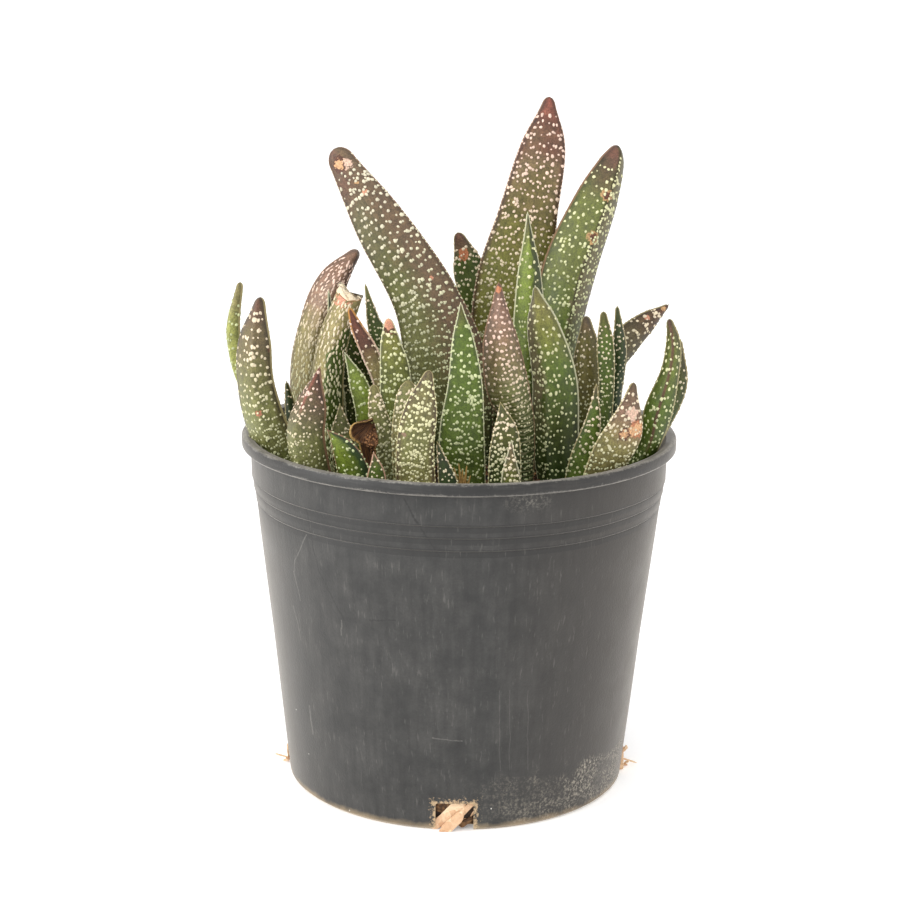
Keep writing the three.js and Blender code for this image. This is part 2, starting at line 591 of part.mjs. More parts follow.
function pottedGasteria() {
  const group = new THREE.Group();
  addPiece(group, "pot", potGeometry(), POT_SKIN);
  addPiece(group, "potting_mix", mixGeometry(), MIX_SKIN);
  addPiece(group, "rootstock", geometryOf(rootstock()), ROOT_SKIN);
  everyLeaf().forEach(([name, plan]) => {
    addPiece(group, `leaf_${name}`, leafGeometry(plan), SKINS[plan.skin]);
  });
  return group;
}

export default pottedGasteria();
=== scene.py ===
"""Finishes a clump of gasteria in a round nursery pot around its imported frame.

The frame gives each leaf, the pot and the mix as plain solids. This script replaces them with finer
pieces of the same form and place: keeled leaves with raised white tubercles, a worn plastic pot and a
bark mix. Lengths are millimetres unless a name says otherwise, and +Z is up. The front looks to -Y.
"""

import logging
import math
import random
from collections.abc import Callable, Sequence
from dataclasses import dataclass, field, replace
from enum import Enum
from functools import partial

import bmesh
import bpy
import numpy as np
from mathutils import Matrix, Vector, noise


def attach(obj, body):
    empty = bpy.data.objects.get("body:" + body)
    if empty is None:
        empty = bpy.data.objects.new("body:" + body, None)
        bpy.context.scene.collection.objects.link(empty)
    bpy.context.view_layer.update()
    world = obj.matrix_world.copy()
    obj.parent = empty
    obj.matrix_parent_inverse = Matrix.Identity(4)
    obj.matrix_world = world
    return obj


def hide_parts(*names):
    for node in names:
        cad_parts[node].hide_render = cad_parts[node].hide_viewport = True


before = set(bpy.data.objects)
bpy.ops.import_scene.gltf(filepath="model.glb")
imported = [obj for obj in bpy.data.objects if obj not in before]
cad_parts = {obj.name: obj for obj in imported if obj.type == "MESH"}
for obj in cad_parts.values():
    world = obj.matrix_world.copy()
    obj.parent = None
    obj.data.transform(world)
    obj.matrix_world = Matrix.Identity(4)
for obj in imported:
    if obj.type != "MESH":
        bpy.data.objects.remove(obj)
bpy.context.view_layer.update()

LOG = logging.getLogger("gasteria")
MM = 0.001
# The offsets of vector noise, which otherwise come from the clock.
NOISE_SEED = 1

Point = tuple[float, float, float]
Station = tuple[float, float, float, float]
Link = bpy.types.Node | bpy.types.NodeSocket
AddNode = Callable[..., bpy.types.Node]
# A layer of a finish: its mask and its hex colour or link, or a value and None where it only shades.
Layer = tuple[Link, int | Link | None]


class Slot(Enum):
    """The record's material slots."""

    POT = "pot_plastic"
    MIX = "bark_mix"
    ROOT = "root"
    GREEN = "leaf_green"
    OLIVE = "leaf_olive"
    PURPLE = "leaf_purple"
    DARK = "leaf_dark"
    PALE = "leaf_pale"
    DEAD = "leaf_dead"


class Side(Enum):
    """The two sides of a leaf."""

    FLAT = 0
    KEEL = 1


# ---------------------------------------------------------------- small helpers


def linear(hex_colour: int) -> tuple[float, float, float, float]:
    """Turns an sRGB hex colour into linear RGBA.

    Args:
        hex_colour: The colour as 0xRRGGBB.

    Returns:
        Its linear red, green and blue, and an alpha of 1.
    """
    channels = [((hex_colour >> shift) & 255) / 255 for shift in (16, 8, 0)]
    return (*(c / 12.92 if c <= 0.04045 else ((c + 0.055) / 1.055) ** 2.4 for c in channels), 1.0)


def add_node(tree: bpy.types.NodeTree, kind: str, inputs: dict | None = None, **settings) -> bpy.types.Node:
    """Adds a shader node with its settings and links.

    Args:
        tree: The node tree that the node goes into.
        kind: The node's type, without the word ShaderNode.
        inputs: For each input, by name or number, a socket to link, a node to link by its first output, or a
            value to set.
        settings: The node's own properties. stops, for a ramp, is its (place, hex colour) pairs.

    Returns:
        The new node.
    """
    node = tree.nodes.new("ShaderNode" + kind)
    stops = settings.pop("stops", None)
    for name, value in settings.items():
        setattr(node, name, value)
    for key, value in (inputs or {}).items():
        if isinstance(value, bpy.types.Node):
            value = value.outputs[0]
        if isinstance(value, bpy.types.NodeSocket):
            tree.links.new(value, node.inputs[key])
        else:
            node.inputs[key].default_value = value
    if stops:
        elements = node.color_ramp.elements
        while len(elements) < len(stops):
            elements.new(1.0)
        for element, (place, colour) in zip(elements, stops):
            element.position, element.color = place, linear(colour)
    return node


def new_material(name: str) -> tuple[bpy.types.Material, AddNode]:
    """Makes an empty node material.

    Args:
        name: The material's name.

    Returns:
        The material, and add_node for its tree.
    """
    material = bpy.data.materials.new(name)
    material.use_nodes = True
    material.node_tree.nodes.clear()
    return material, partial(add_node, material.node_tree)


def lay_over(add: AddNode, colour: Link, layers: Sequence[Layer]) -> Link:
    """Lays tones and shading over a colour.

    Args:
        add: What adds a node to the material.
        colour: The colour at the bottom.
        layers: What goes over it, the lowest first.

    Returns:
        The finished colour.
    """
    for mask, tone in layers:
        if tone is None:
            colour = add("VectorMath", {0: colour, "Scale": mask}, operation="SCALE")
            continue
        over = linear(tone) if isinstance(tone, int) else tone
        colour = add("Mix", {0: mask, 6: colour, 7: over}, data_type="RGBA").outputs[2]
    return colour


def settle(bm: bmesh.types.BMesh, name: str, *materials: bpy.types.Material) -> bpy.types.Object:
    """Turns a finished bmesh into an object at the origin.

    Args:
        bm: The mesh in metres, which is freed.
        name: The object's name.
        materials: Its materials, in the order of the faces' numbers.

    Returns:
        The new object, linked to the scene.
    """
    mesh = bpy.data.meshes.new(name)
    bm.to_mesh(mesh)
    bm.free()
    for material in materials:
        mesh.materials.append(material)
    piece = bpy.data.objects.new(name, mesh)
    bpy.context.scene.collection.objects.link(piece)
    return piece


def absorb(bm: bmesh.types.BMesh, other: bmesh.types.BMesh) -> None:
    """Adds one mesh to another.

    Args:
        bm: The mesh that grows.
        other: The mesh that joins it, which is freed.
    """
    loose = bpy.data.meshes.new("loose")
    other.to_mesh(loose)
    other.free()
    bm.from_mesh(loose)
    bpy.data.meshes.remove(loose)


def spun(section: Sequence[tuple[float, float]], steps: int) -> bmesh.types.BMesh:
    """Spins a section about the upright axis into a closed shell.

    Args:
        section: Its corners as radius and height, from axis to axis.
        steps: The number of facets round it.

    Returns:
        The mesh, in metres, with its faces outwards.
    """
    bm = bmesh.new()
    chain = [bm.verts.new((0, -r * MM, z * MM)) for r, z in section]
    edges = [bm.edges.new(pair) for pair in zip(chain, chain[1:])]
    bmesh.ops.spin(bm, geom=chain + edges, cent=(0, 0, 0), axis=(0, 0, 1), angle=math.tau, steps=steps,
                   use_merge=True)
    bmesh.ops.remove_doubles(bm, verts=bm.verts[:], dist=0.01 * MM)
    bmesh.ops.recalc_face_normals(bm, faces=bm.faces[:])
    return bm


def seat(piece: bpy.types.Object, slot: Slot, *nodes: str) -> None:
    """Rides a piece on the one body and hides what it stands for.

    Args:
        piece: The finished piece.
        slot: The record's slot for its finish; not used.
        nodes: The frame's nodes that it replaces.
    """
    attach(piece, "root")
    if nodes:
        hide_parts(*nodes)
    LOG.info("%s: %d faces, for %s", piece.name, len(piece.data.polygons), ", ".join(nodes) or "no node")


def catmull_rom(points: np.ndarray, share: np.ndarray, clamped: bool) -> np.ndarray:
    """Reads a uniform Catmull-Rom curve.

    Args:
        points: The points that it runs through, one a row.
        share: Where to read it, 0 at the first point and 1 at the last.
        clamped: Whether the end points are doubled, instead of the next ones being mirrored at them.

    Returns:
        One point of the curve for each share.
    """
    before = points[0] if clamped else 2 * points[0] - points[1]
    after = points[-1] if clamped else 2 * points[-1] - points[-2]
    padded = np.concatenate([[before], points, [after]])
    spans = len(points) - 1
    place = np.clip(share, 0, 1) * spans
    index = np.minimum(place.astype(int), spans - 1)
    w = (place - index)[:, None]
    p0, p1, p2, p3 = (padded[index + k] for k in range(4))
    leave, arrive = (p2 - p0) / 2, (p3 - p1) / 2
    cubic, square = 2 * p1 - 2 * p2 + leave + arrive, 3 * p2 - 3 * p1 - 2 * leave - arrive
    return cubic * w**3 + square * w**2 + leave * w + p1


def smoothstep(low: float, high: float, value: np.ndarray) -> np.ndarray:
    """Gives 0 where the value is at or below low and 1 where it is at or above high, with a smooth rise."""
    t = np.clip((value - low) / (high - low), 0, 1)
    return t * t * (3 - 2 * t)


def normalised(vectors: np.ndarray) -> np.ndarray:
    """Scales each row to a length of 1."""
    return vectors / np.maximum(np.linalg.norm(vectors, axis=1, keepdims=True), 1e-12)


# ---------------------------------------------------------------- leaf finishes

# Living skin between the tubercles, from shaded feet to sunburnt tips.
BLACK_GREEN = 0x1A2A10
DEEP_GREEN = 0x24370F
DARK_GREEN = 0x343D0E
FOREST_GREEN = 0x3E4C11
DEEP_OLIVE = 0x494B1A
LEAF_GREEN = 0x4B5C1A
MOSS = 0x53542A
GREY_GREEN = 0x5C5D31
GREEN_OLIVE = 0x5A6027
FRESH_GREEN = 0x5F6E1F
YELLOW_GREEN = 0x6C7B2B
LIME_OLIVE = 0x6A6A2D
OLIVE = 0x5B5425
GREY_OLIVE = 0x6B6C3E
BROWN_OLIVE = 0x5C5539
PALE_LIME = 0x878A48
SAGE = 0x67613C
PALE_OLIVE = 0x797141
STRAW = 0x867B50
PALE_STRAW = 0x9C9160
DARK_BROWN = 0x3D351B
BRONZE = 0x4D4028
BROWN = 0x5E4B36
TAN_BROWN = 0x6F5D41
MAROON = 0x543526
RUSSET = 0x66382A
RED_BROWN = 0x624233
DUSTY_RED = 0x7C4B3C
BURNT_RED = 0x934E40
ROSE_BROWN = 0x7B5F4D
PINK_TAN = 0x8A705B

# Tubercles, horny edges, scars and dead matter.
CREAM = 0xD3C3A8
PINK_CREAM = 0xD7BAA9
YELLOW_CREAM = 0xC8C49A
GREEN_CREAM = 0xB4BA8C
GREY_CREAM = 0xC2BAA2
HORN = 0x968A60
PALE_HORN = 0xB6B494
BROWN_HORN = 0x7F6048
GOLDEN_HORN = 0xB5813F
PULP = 0xDCCBAE
TAN = 0xB08A5E
ORANGE = 0xAE6C48
PEELED = 0xBC8469
SCAR_BROWN = 0x4A2416
SCAR_PINK = 0xCBAA95
SCAR_TAN = 0xC4986F
WORN_ROW = 0x8F8A66
RUST_SCAR = 0xA56A4E
ROSE_HORN = 0xB08A72


@dataclass(frozen=True)
class Mark:
    """A scar or dried patch on a leaf's skin.

    Args:
        share: How far up the leaf it lies, 0 to 1.
        across: Where it lies across, -1 to 1.
        side: The side that it is on.
        size: Its width.
        colour: Its sRGB colour.
        edge: The colour of its raised edge, or None.
    """

    share: float
    across: float
    side: Side
    size: float
    colour: int
    edge: int | None = None


@dataclass(frozen=True)
class Tubercles:
    """The raised white dots on a leaf's skin.

    Args:
        size: How wide a dot is on the upper half.
        foot_size: How wide it is at the foot.
        foot_gap: The distance from dot to dot at the foot.
        tip_gap: The same at the tip.
        band: The distance from one loose cross row to the next.
        banding: How much the dots keep to these rows, 0 to 1.
        stretch: How much longer than wide a dot is, along the leaf.
        paired: The share of the dots that run into a second one.
        bare_tip: The share of the leaf below the tip that has none.
        beads: The distance between the dots that sit on the margins, or 0 for none.
        keel_beads: Whether such a row runs up the ridge of the keel too.
        foot_colour: The dots' colour at the foot.
        tip_colour: Their colour at the tip.
    """

    size: float = 1.6
    foot_size: float = 1.35
    foot_gap: float = 2.0
    tip_gap: float = 2.5
    band: float = 4.6
    banding: float = 0.6
    stretch: float = 1.0
    paired: float = 0.3
    bare_tip: float = 0.07
    beads: float = 1.9
    keel_beads: bool = False
    foot_colour: int = GREEN_CREAM
    tip_colour: int = CREAM

    def material(self, name: str) -> bpy.types.Material:
        """Makes the cuticle of the dots: opaque, pale and a little waxy, greener low on the leaf.

        Args:
            name: The material's name.

        Returns:
            The material.
        """
        material, add = new_material(name)
        share, tint = (add("Attribute", attribute_name=key).outputs["Fac"] for key in ("share", "tint"))
        stops = ((0.1, self.foot_colour), (0.75, self.tip_colour))
        tone = add("ValToRGB", {0: share}, stops=stops)
        dull = add("MapRange", {0: tint, 3: 0.86, 4: 1.22})
        colour = lay_over(add, tone, [(dull, None)])
        add("OutputMaterial", {"Surface": add("BsdfPrincipled", {
            "Base Color": colour, "Roughness": 0.5, "IOR": 1.45})})
        return material


@dataclass(frozen=True)
class LeafSkin:
    """The waxy skin of a living leaf: satin, finely grained and darker towards its margins, there partly by
    painted shade.

    Args:
        tones: The skin's colours, each after the share of the length that it belongs to.
        slot: The record's slot for it.
        flush: A second tone that lies over one half of the leaf, or None.
        flush_side: The half that it lies over, -1 or 1 across.
        flush_edge: Where across the leaf the second tone starts, -1 to 1.
        flush_soft: How far across the second tone takes to come in.
        flush_from: The share of the length from which the second tone shows.
        flush_to: The share from which its edge draws back to the margin.
        flush_lean: How far across the edge has drawn back by the tip.
        rim: A darker tone along both margins, or None.
        margin: The horny edge's colour.
        margin_foot: Its colour on the lower half, or None for the same.
        margin_width: How wide the horny edge shows.
        ridge: The keel line's colour, or None.
        ridge_width: How wide the keel line is.
        ridge_from: The share of the length from which the keel line shows.
        ridging: How strongly fine cross ridges show near the foot, 0 to 1.
        marks: Its scars and dried patches.
    """

    tones: tuple[tuple[float, int], ...]
    slot: Slot
    flush: int | None = None
    flush_side: int = 1
    flush_edge: float = 0.0
    flush_soft: float = 0.3
    flush_from: float = 0.0
    flush_to: float = 1.0
    flush_lean: float = 0.0
    rim: int | None = None
    margin: int = HORN
    margin_foot: int | None = None
    margin_width: float = 0.5
    ridge: int | None = None
    ridge_width: float = 0.7
    ridge_from: float = 0.0
    ridging: float = 0.0
    marks: tuple[Mark, ...] = ()

    def material(self, name: str, places: Sequence[Point]) -> bpy.types.Material:
        """Makes the skin.

        Args:
            name: The material's name.
            places: Where each mark's middle is, in metres.

        Returns:
            The material.
        """
        material, add = new_material(name)
        skin_map = add("UVMap", uv_map="skin_mm")
        place = add("TexCoord").outputs["Object"]
        share, across, edge, ridge = (add("Attribute", attribute_name=key).outputs["Fac"]
                                      for key in ("share", "across", "edge_mm", "ridge_mm"))

        # Patches of 12 mm shift the tones along the leaf, blotches of 3 mm mottle them, cells of 0.55 mm,
        # clear and dull, give the grain, and scars are torn over 1.3 mm.
        broad, blotch, grain, ragged = (
            add("TexNoise", {"Vector": place, "Scale": 1 / (width * MM), "Detail": detail})
            for width, detail in ((12, 2.0), (3, 4.0), (0.55, 2.0), (1.3, 4.0)))
        shift = add("MapRange", {0: broad, 1: 0.3, 2: 0.7, 3: -0.06, 4: 0.06})
        tone_at = add("Math", {0: share, 1: shift}, operation="ADD")
        body = add("ValToRGB", {0: tone_at}, stops=self.tones)

        layers: list[Layer] = []
        if self.flush is not None:
            layers.append((self.flush_mask(add, (share, across, tone_at, blotch)), self.flush))
        if self.rim is not None:
            near = add("MapRange", {0: edge, 1: 0.5, 2: 2.6, 3: 0.8, 4: 0.0})
            layers.append((near, self.rim))
        if self.ridge is not None:
            at_ridge = add("MapRange", {0: ridge, 1: self.ridge_width * 0.4, 2: self.ridge_width,
                                                   3: 0.85, 4: 0.0})
            above = add("MapRange", {0: share, 1: self.ridge_from - 0.05, 2: self.ridge_from + 0.05})
            line = add("Math", {0: at_ridge, 1: above}, operation="MULTIPLY")
            layers.append((line, self.ridge))

        # Faint streaks 0.9 mm wide run along the leaf, as its veins do.
        stretched = add("Mapping", {"Vector": skin_map, "Scale": (1 / 0.9, 1 / 14, 1.0)})
        vein = add("TexNoise", {"Vector": stretched, "Scale": 1.0, "Detail": 3.0})
        light = add("Math", {0: vein, 1: 0.4, 2: blotch}, operation="MULTIPLY_ADD")
        value = add("MapRange", {0: light, 1: 0.45, 2: 0.95, 3: 0.66, 4: 1.3})
        # Painted shade darkens every leaf's skin within 1.9 mm of its margins.
        painted_edge_shade = add("MapRange", {0: edge, 1: 0.4, 2: 1.9, 3: 0.55, 4: 1.0})
        layers += [(value, None), (painted_edge_shade, None)]

        heights: list[Link] = [add("Math", {0: pattern, 1: amount}, operation="MULTIPLY")
                               for pattern, amount in ((grain, 0.6), (blotch, 0.8))]
        if self.ridging:
            # Rows of worn tubercles every 1.5 mm, broken and wavy.
            rows = add("Mapping", {"Vector": skin_map, "Scale": (0.32, 1.0, 1.0)})
            wave = add("TexWave", {"Vector": rows, "Scale": 0.21, "Distortion": 7.0,
                                              "Detail": 3.0, "Detail Scale": 2.2}, bands_direction="Y")
            crest = add("MapRange", {0: wave.outputs["Fac"], 1: 0.55, 2: 0.9, 4: self.ridging})
            low = add("MapRange", {0: share, 1: 0.4, 2: 0.66, 3: 1.0, 4: 0.0})
            crests = add("Math", {0: crest, 1: low}, operation="MULTIPLY")
            layers.append((crests, WORN_ROW))
            heights.append(crests)
        for mark, middle in zip(self.marks, places):
            reach = add("VectorMath", {0: place, 1: middle}, operation="DISTANCE")
            torn = add("Math", {0: ragged, 1: 1.3 * mark.size * MM, 2: reach.outputs["Value"]},
                            operation="MULTIPLY_ADD")
            radius = 1.15 * mark.size * MM
            if mark.edge is not None:
                ring = add("MapRange", {0: torn, 1: radius * 1.12, 2: radius * 1.26, 3: 0.9, 4: 0.0})
                layers.append((ring, mark.edge))
            patch = add("MapRange", {0: torn, 1: radius * 0.94, 2: radius * 1.04, 3: 0.95, 4: 0.0})
            layers.append((patch, mark.colour))
            heights.append(add("Math", {0: patch, 1: -0.8}, operation="MULTIPLY"))
        speck = add("MapRange", {0: grain, 1: 0.3, 2: 0.7, 3: 0.66, 4: 1.34})
        horny = add("MapRange", {0: edge, 1: self.margin_width * 0.5, 2: self.margin_width, 3: 0.9, 4: 0.0})
        foot = self.margin if self.margin_foot is None else self.margin_foot
        edging = add("ValToRGB", {0: share}, stops=((0.5, foot), (0.8, self.margin)))
        layers += [(speck, None), (horny, edging)]

        height = heights[0]
        for more in heights[1:]:
            height = add("Math", {0: height, 1: more}, operation="ADD")
        bump = add("Bump", {"Height": height, "Strength": 0.55, "Distance": 0.3 * MM})
        rough = add("MapRange", {0: blotch, 1: 0.3, 2: 0.7, 3: 0.4, 4: 0.58})
        add("OutputMaterial", {"Surface": add("BsdfPrincipled", {
            "Base Color": lay_over(add, body, layers), "Roughness": rough, "Normal": bump, "IOR": 1.42,
            "Subsurface Weight": 0.08, "Subsurface Radius": (0.6, 1.0, 0.3), "Subsurface Scale": 0.8 * MM})})
        return material

    def flush_mask(self, add: AddNode, fields: tuple[Link, Link, Link, Link]) -> Link:
        """Finds where the second tone lies, with an edge that wanders.

        Args:
            add: What adds a node to the material.
            fields: The share of the length, the place across, the share where tones change, and blotches.

        Returns:
            The mask.
        """
        share, across, tone_at, blotch = fields
        wander = add("MapRange", {0: blotch, 1: 0.3, 2: 0.7, 3: -0.22, 4: 0.22})
        sided = add("Math", {0: across, 1: float(self.flush_side), 2: wander}, operation="MULTIPLY_ADD")
        lean = add("MapRange", {0: share, 1: self.flush_to, 2: 1.001, 4: self.flush_lean})
        drawn = add("Math", {0: sided, 1: lean}, operation="SUBTRACT")
        start, soft = self.flush_edge * self.flush_side, self.flush_soft / 2
        half = add("MapRange", {0: drawn, 1: start - soft, 2: start + soft})
        high = add("MapRange", {0: tone_at, 1: self.flush_from - 0.1, 2: self.flush_from + 0.1})
        return add("Math", {0: half, 1: high}, operation="MULTIPLY")


@dataclass(frozen=True)
class DeadSkin:
    """Dry dead leaf tissue: papery, dark brown with paler fibres, blisters and a bleached rim."""

    slot: Slot = Slot.DEAD
    core: int = 0x2C180C
    fibre: int = 0x6B4624
    blister: int = 0xB07E54
    rim: int = 0xBA9658

    def material(self, name: str) -> bpy.types.Material:
        """Makes the dead tissue.

        Args:
            name: The material's name.

        Returns:
            The material.
        """
        material, add = new_material(name)
        skin_map = add("UVMap", uv_map="skin_mm")
        place = add("TexCoord").outputs["Object"]
        edge, across, share = (add("Attribute", attribute_name=key).outputs["Fac"]
                               for key in ("edge_mm", "across", "share"))
        # Fibres 0.6 mm wide run lengthwise.
        stretched = add("Mapping", {"Vector": skin_map, "Scale": (1 / 0.6, 1 / 6, 1.0)})
        fibres = add("TexNoise", {"Vector": stretched, "Scale": 1.0, "Detail": 4.0})
        body = add("ValToRGB", {0: fibres}, stops=((0.38, self.core), (0.7, self.fibre)))
        # Blisters 0.9 mm wide stand along one side.
        cells = add("TexVoronoi", {"Vector": place, "Scale": 1 / (0.9 * MM)})
        swollen = add("MapRange", {0: cells, 1: 0.25, 2: 0.6, 3: 1.0, 4: 0.0})
        aside = add("MapRange", {0: across, 1: 0.1, 2: 0.7})
        below = add("MapRange", {0: share, 1: 0.62, 2: 0.8, 3: 1.0, 4: 0.15})
        region = add("Math", {0: aside, 1: below}, operation="MULTIPLY")
        blisters = add("Math", {0: swollen, 1: region}, operation="MULTIPLY")
        # The rim and the tip are bleached, but not at the foot.
        worn = add("MapRange", {0: edge, 1: 0.3, 2: 0.8, 3: 0.9, 4: 0.0})
        tip = add("MapRange", {0: share, 1: 0.965, 2: 0.99, 3: 0.0, 4: 0.9})
        pale = add("Math", {0: worn, 1: tip}, operation="MAXIMUM")
        up = add("MapRange", {0: share, 1: 0.3, 2: 0.5})
        rolled = add("Math", {0: pale, 1: up}, operation="MULTIPLY")
        colour = lay_over(add, body, [(blisters, self.blister), (rolled, self.rim)])
        height = add("Math", {0: fibres, 1: blisters}, operation="ADD")
        bump = add("Bump", {"Height": height, "Strength": 0.9, "Distance": 0.5 * MM})
        add("OutputMaterial", {"Surface": add("BsdfPrincipled", {
            "Base Color": colour, "Roughness": 0.7, "Normal": bump, "IOR": 1.4})})
        return material


# ---------------------------------------------------------------- leaves

# The section: how far the flat side and the keel stand out, and how depth falls with width and length.
FLAT_CROWN = 0.22
KEEL_CROWN = 0.78
LEAST_DEPTH = 0.35
LENGTH_THINNING = 0.3
DEEPEST_FOR_WIDTH = 0.8
# A cut end: the share of the course where it lies, and its slant.
TIP_RING = 0.985
CUT_SLANT = 3.0
# The grid: faces round a wide and a narrow leaf, their length, and how they crowd towards the tip.
WIDE_LEAF = 14
WIDE_ROUNDS, NARROW_ROUNDS = 44, 28
ROW_SPACING = 1.7
FEWEST_ROWS = 12
TIP_CROWDING = 1.3
LENGTH_SAMPLES = 240
FAR_OFF = 99.0
# Slow lumps in the skin: their spacing and height.
RELIEF_GRAIN = 11.0
RELIEF_HEIGHT = 0.35
# Tubercles: draws for each place, the half width that they keep to, and a dome's form for a width of 1.
DOT_TRIES = 8
DOT_REACH = 0.93
DOT_SIDES = 7
DOT_TOP = 0.66
DOT_HEIGHT = 0.36
DOT_SINK = 0.1
# Beads on the margins and the keel: where they stand, from what height to what share, and their form.
MARGIN_BEAD = 0.985
BEAD_FROM, BEAD_TO = 2.0, 0.96
BEAD_SIZE = 0.75
BEAD_STRETCH = 1.35
# The horny point: its widths and its length.
MUCRO = (0.36, 0.1, 1.0)


@dataclass
class Leaf:
    """A leaf of the clump, with a flat side and a keeled side.

    Args:
        name: Its name, without the word leaf.
        skin: Its finish.
        dots: Its tubercles, or None.
        face: The way its flat side looks, in degrees from +X.
        thick: Its depth at the foot.
        line: Its course from foot to tip: x, y, z and the width there.
        keel: Where the ridge of the other side runs, -1 to 1 across.
        turn: How far the face turns on the way up, in degrees.
        curl: How far the margins lift by the tip, as a share of the half width.
        cut: Whether it ends in a slanted cut and not in a tip.
    """

    name: str
    skin: LeafSkin | DeadSkin
    dots: Tubercles | None
    face: float
    thick: float
    line: tuple[Station, ...]
    keel: float = 0.0
    turn: float = 0.0
    curl: float = 0.0
    cut: bool = False
    shares: np.ndarray = field(init=False, repr=False)
    lengths: np.ndarray = field(init=False, repr=False)

    def __post_init__(self) -> None:
        """Measures the course, so that lengths can be turned into shares and back."""
        end = TIP_RING if self.cut else 1.0
        self.shares = np.linspace(0, end, LENGTH_SAMPLES)
        course = catmull_rom(np.array(self.line, float)[:, :3], self.shares, clamped=False)
        steps = np.linalg.norm(np.diff(course, axis=0), axis=1)
        self.lengths = np.concatenate([[0.0], np.cumsum(steps)])

    @property
    def length(self) -> float:
        """The length of its course."""
        return float(self.lengths[-1])

    def half_width(self, share: np.ndarray) -> np.ndarray:
        """Half its width at each share, with the tip closed by a round end."""
        stations = np.array(self.line, float)
        half = catmull_rom(stations[:, 3:], share, clamped=True)[:, 0] / 2
        if self.cut:
            return half
        end = 0.5 * stations[-1, 3] + 0.5
        past = np.clip((np.interp(share, self.shares, self.lengths) - self.length + end) / end, 0, 1)
        return half * np.sqrt(1 - past**2)

    def surface(self, share: np.ndarray, across: np.ndarray, flat: np.ndarray) -> np.ndarray:
        """Finds points on the skin.

        Args:
            share: How far up the leaf each point is.
            across: Where it is across, -1 to 1.
            flat: Whether it is on the flat side.

        Returns:
            The points, one a row.
        """
        stations = np.array(self.line, float)
        courses = stations[:, :3]
        centre = catmull_rom(courses, share, clamped=False)
        ahead, behind = (catmull_rom(courses, share + step, clamped=False) for step in (1e-4, -1e-4))
        along = normalised(ahead - behind)
        heading = np.radians(self.face + self.turn * share)
        out = np.stack([np.cos(heading), np.sin(heading), np.zeros_like(heading)], axis=1)
        out = normalised(out - along * np.sum(out * along, axis=1, keepdims=True))
        sideways = np.cross(along, out)
        full = catmull_rom(stations[:, 3:], share, clamped=True)[:, 0]
        fullness = LEAST_DEPTH + (1 - LEAST_DEPTH) * full / stations[:, 3].max()
        depth = np.minimum(self.thick * fullness * (1 - LENGTH_THINNING * share), DEEPEST_FOR_WIDTH * full)
        half = self.half_width(share)
        depth = depth * 2 * half / np.maximum(full, 1e-6)
        crown = FLAT_CROWN * np.maximum(1 - across**2, 0) ** 0.6
        keel = -KEEL_CROWN * np.maximum(1 - np.abs(across) ** 1.3, 0) ** 0.75
        through = np.where(flat, crown, keel)
        side = np.where(flat, across, across + (1 - np.abs(across)) * self.keel)
        lift = self.curl * share * half * side**2
        slant = CUT_SLANT * through * smoothstep(0.9, TIP_RING, share) * self.cut
        skin = centre + sideways * (side * half)[:, None] + out * (through * depth + lift)[:, None]
        skin = skin + along * slant[:, None]
        bumps = np.array([noise.noise(Vector(p) / RELIEF_GRAIN) for p in skin]) * RELIEF_HEIGHT
        return skin + out * (bumps * smoothstep(0, 0.12, share) * np.minimum(half / 4, 1))[:, None]

    def body(self) -> bmesh.types.BMesh:
        """Rolls a grid into the leaf's closed skin, with its maps.

        Returns:
            The mesh, in metres.
        """
        rounds = WIDE_ROUNDS if max(station[3] for station in self.line) > WIDE_LEAF else NARROW_ROUNDS
        rows = max(FEWEST_ROWS, round(self.length / ROW_SPACING))
        bm = bmesh.new()
        bmesh.ops.create_grid(bm, x_segments=rounds, y_segments=rows, size=1.0)
        uv = bm.loops.layers.uv.new("skin_mm")
        layers = {key: bm.verts.layers.float.new(key)
                  for key in ("share", "across", "edge_mm", "ridge_mm", "tint")}
        grid = np.array([v.co[:2] for v in bm.verts], float) / 2 + 0.5
        across = -np.cos(2 * np.pi * grid[:, 0])
        flat = grid[:, 0] <= 0.5
        reach = 1 - (1 - grid[:, 1]) ** TIP_CROWDING
        share = np.interp(reach * self.length, self.lengths, self.shares)
        points = self.surface(share, across, flat)
        points[:, 2] = np.maximum(points[:, 2], self.line[0][2])
        half = self.half_width(share)
        side = across + np.where(flat, 0, (1 - np.abs(across)) * self.keel)
        round_mm = np.where(flat, side * half, 2 * half - side * half)
        edge = (1 - np.abs(across)) * half
        ridge = np.where(flat, FAR_OFF, np.abs(across) * half)
        values = {"share": share, "across": side, "edge_mm": edge, "ridge_mm": ridge}
        for i, vert in enumerate(bm.verts):
            vert.co = points[i] * MM
            vert[layers["tint"]] = 0.5
            for key, column in values.items():
                vert[layers[key]] = column[i]
        for face in bm.faces:
            face.smooth = True
            for loop in face.loops:
                i = loop.vert.index
                loop[uv].uv = (round_mm[i], reach[i] * self.length)
        bmesh.ops.remove_doubles(bm, verts=bm.verts[:], dist=0.002 * MM)
        bmesh.ops.holes_fill(bm, edges=[edge for edge in bm.edges if edge.is_boundary])
        bmesh.ops.recalc_face_normals(bm, faces=bm.faces[:])
        return bm

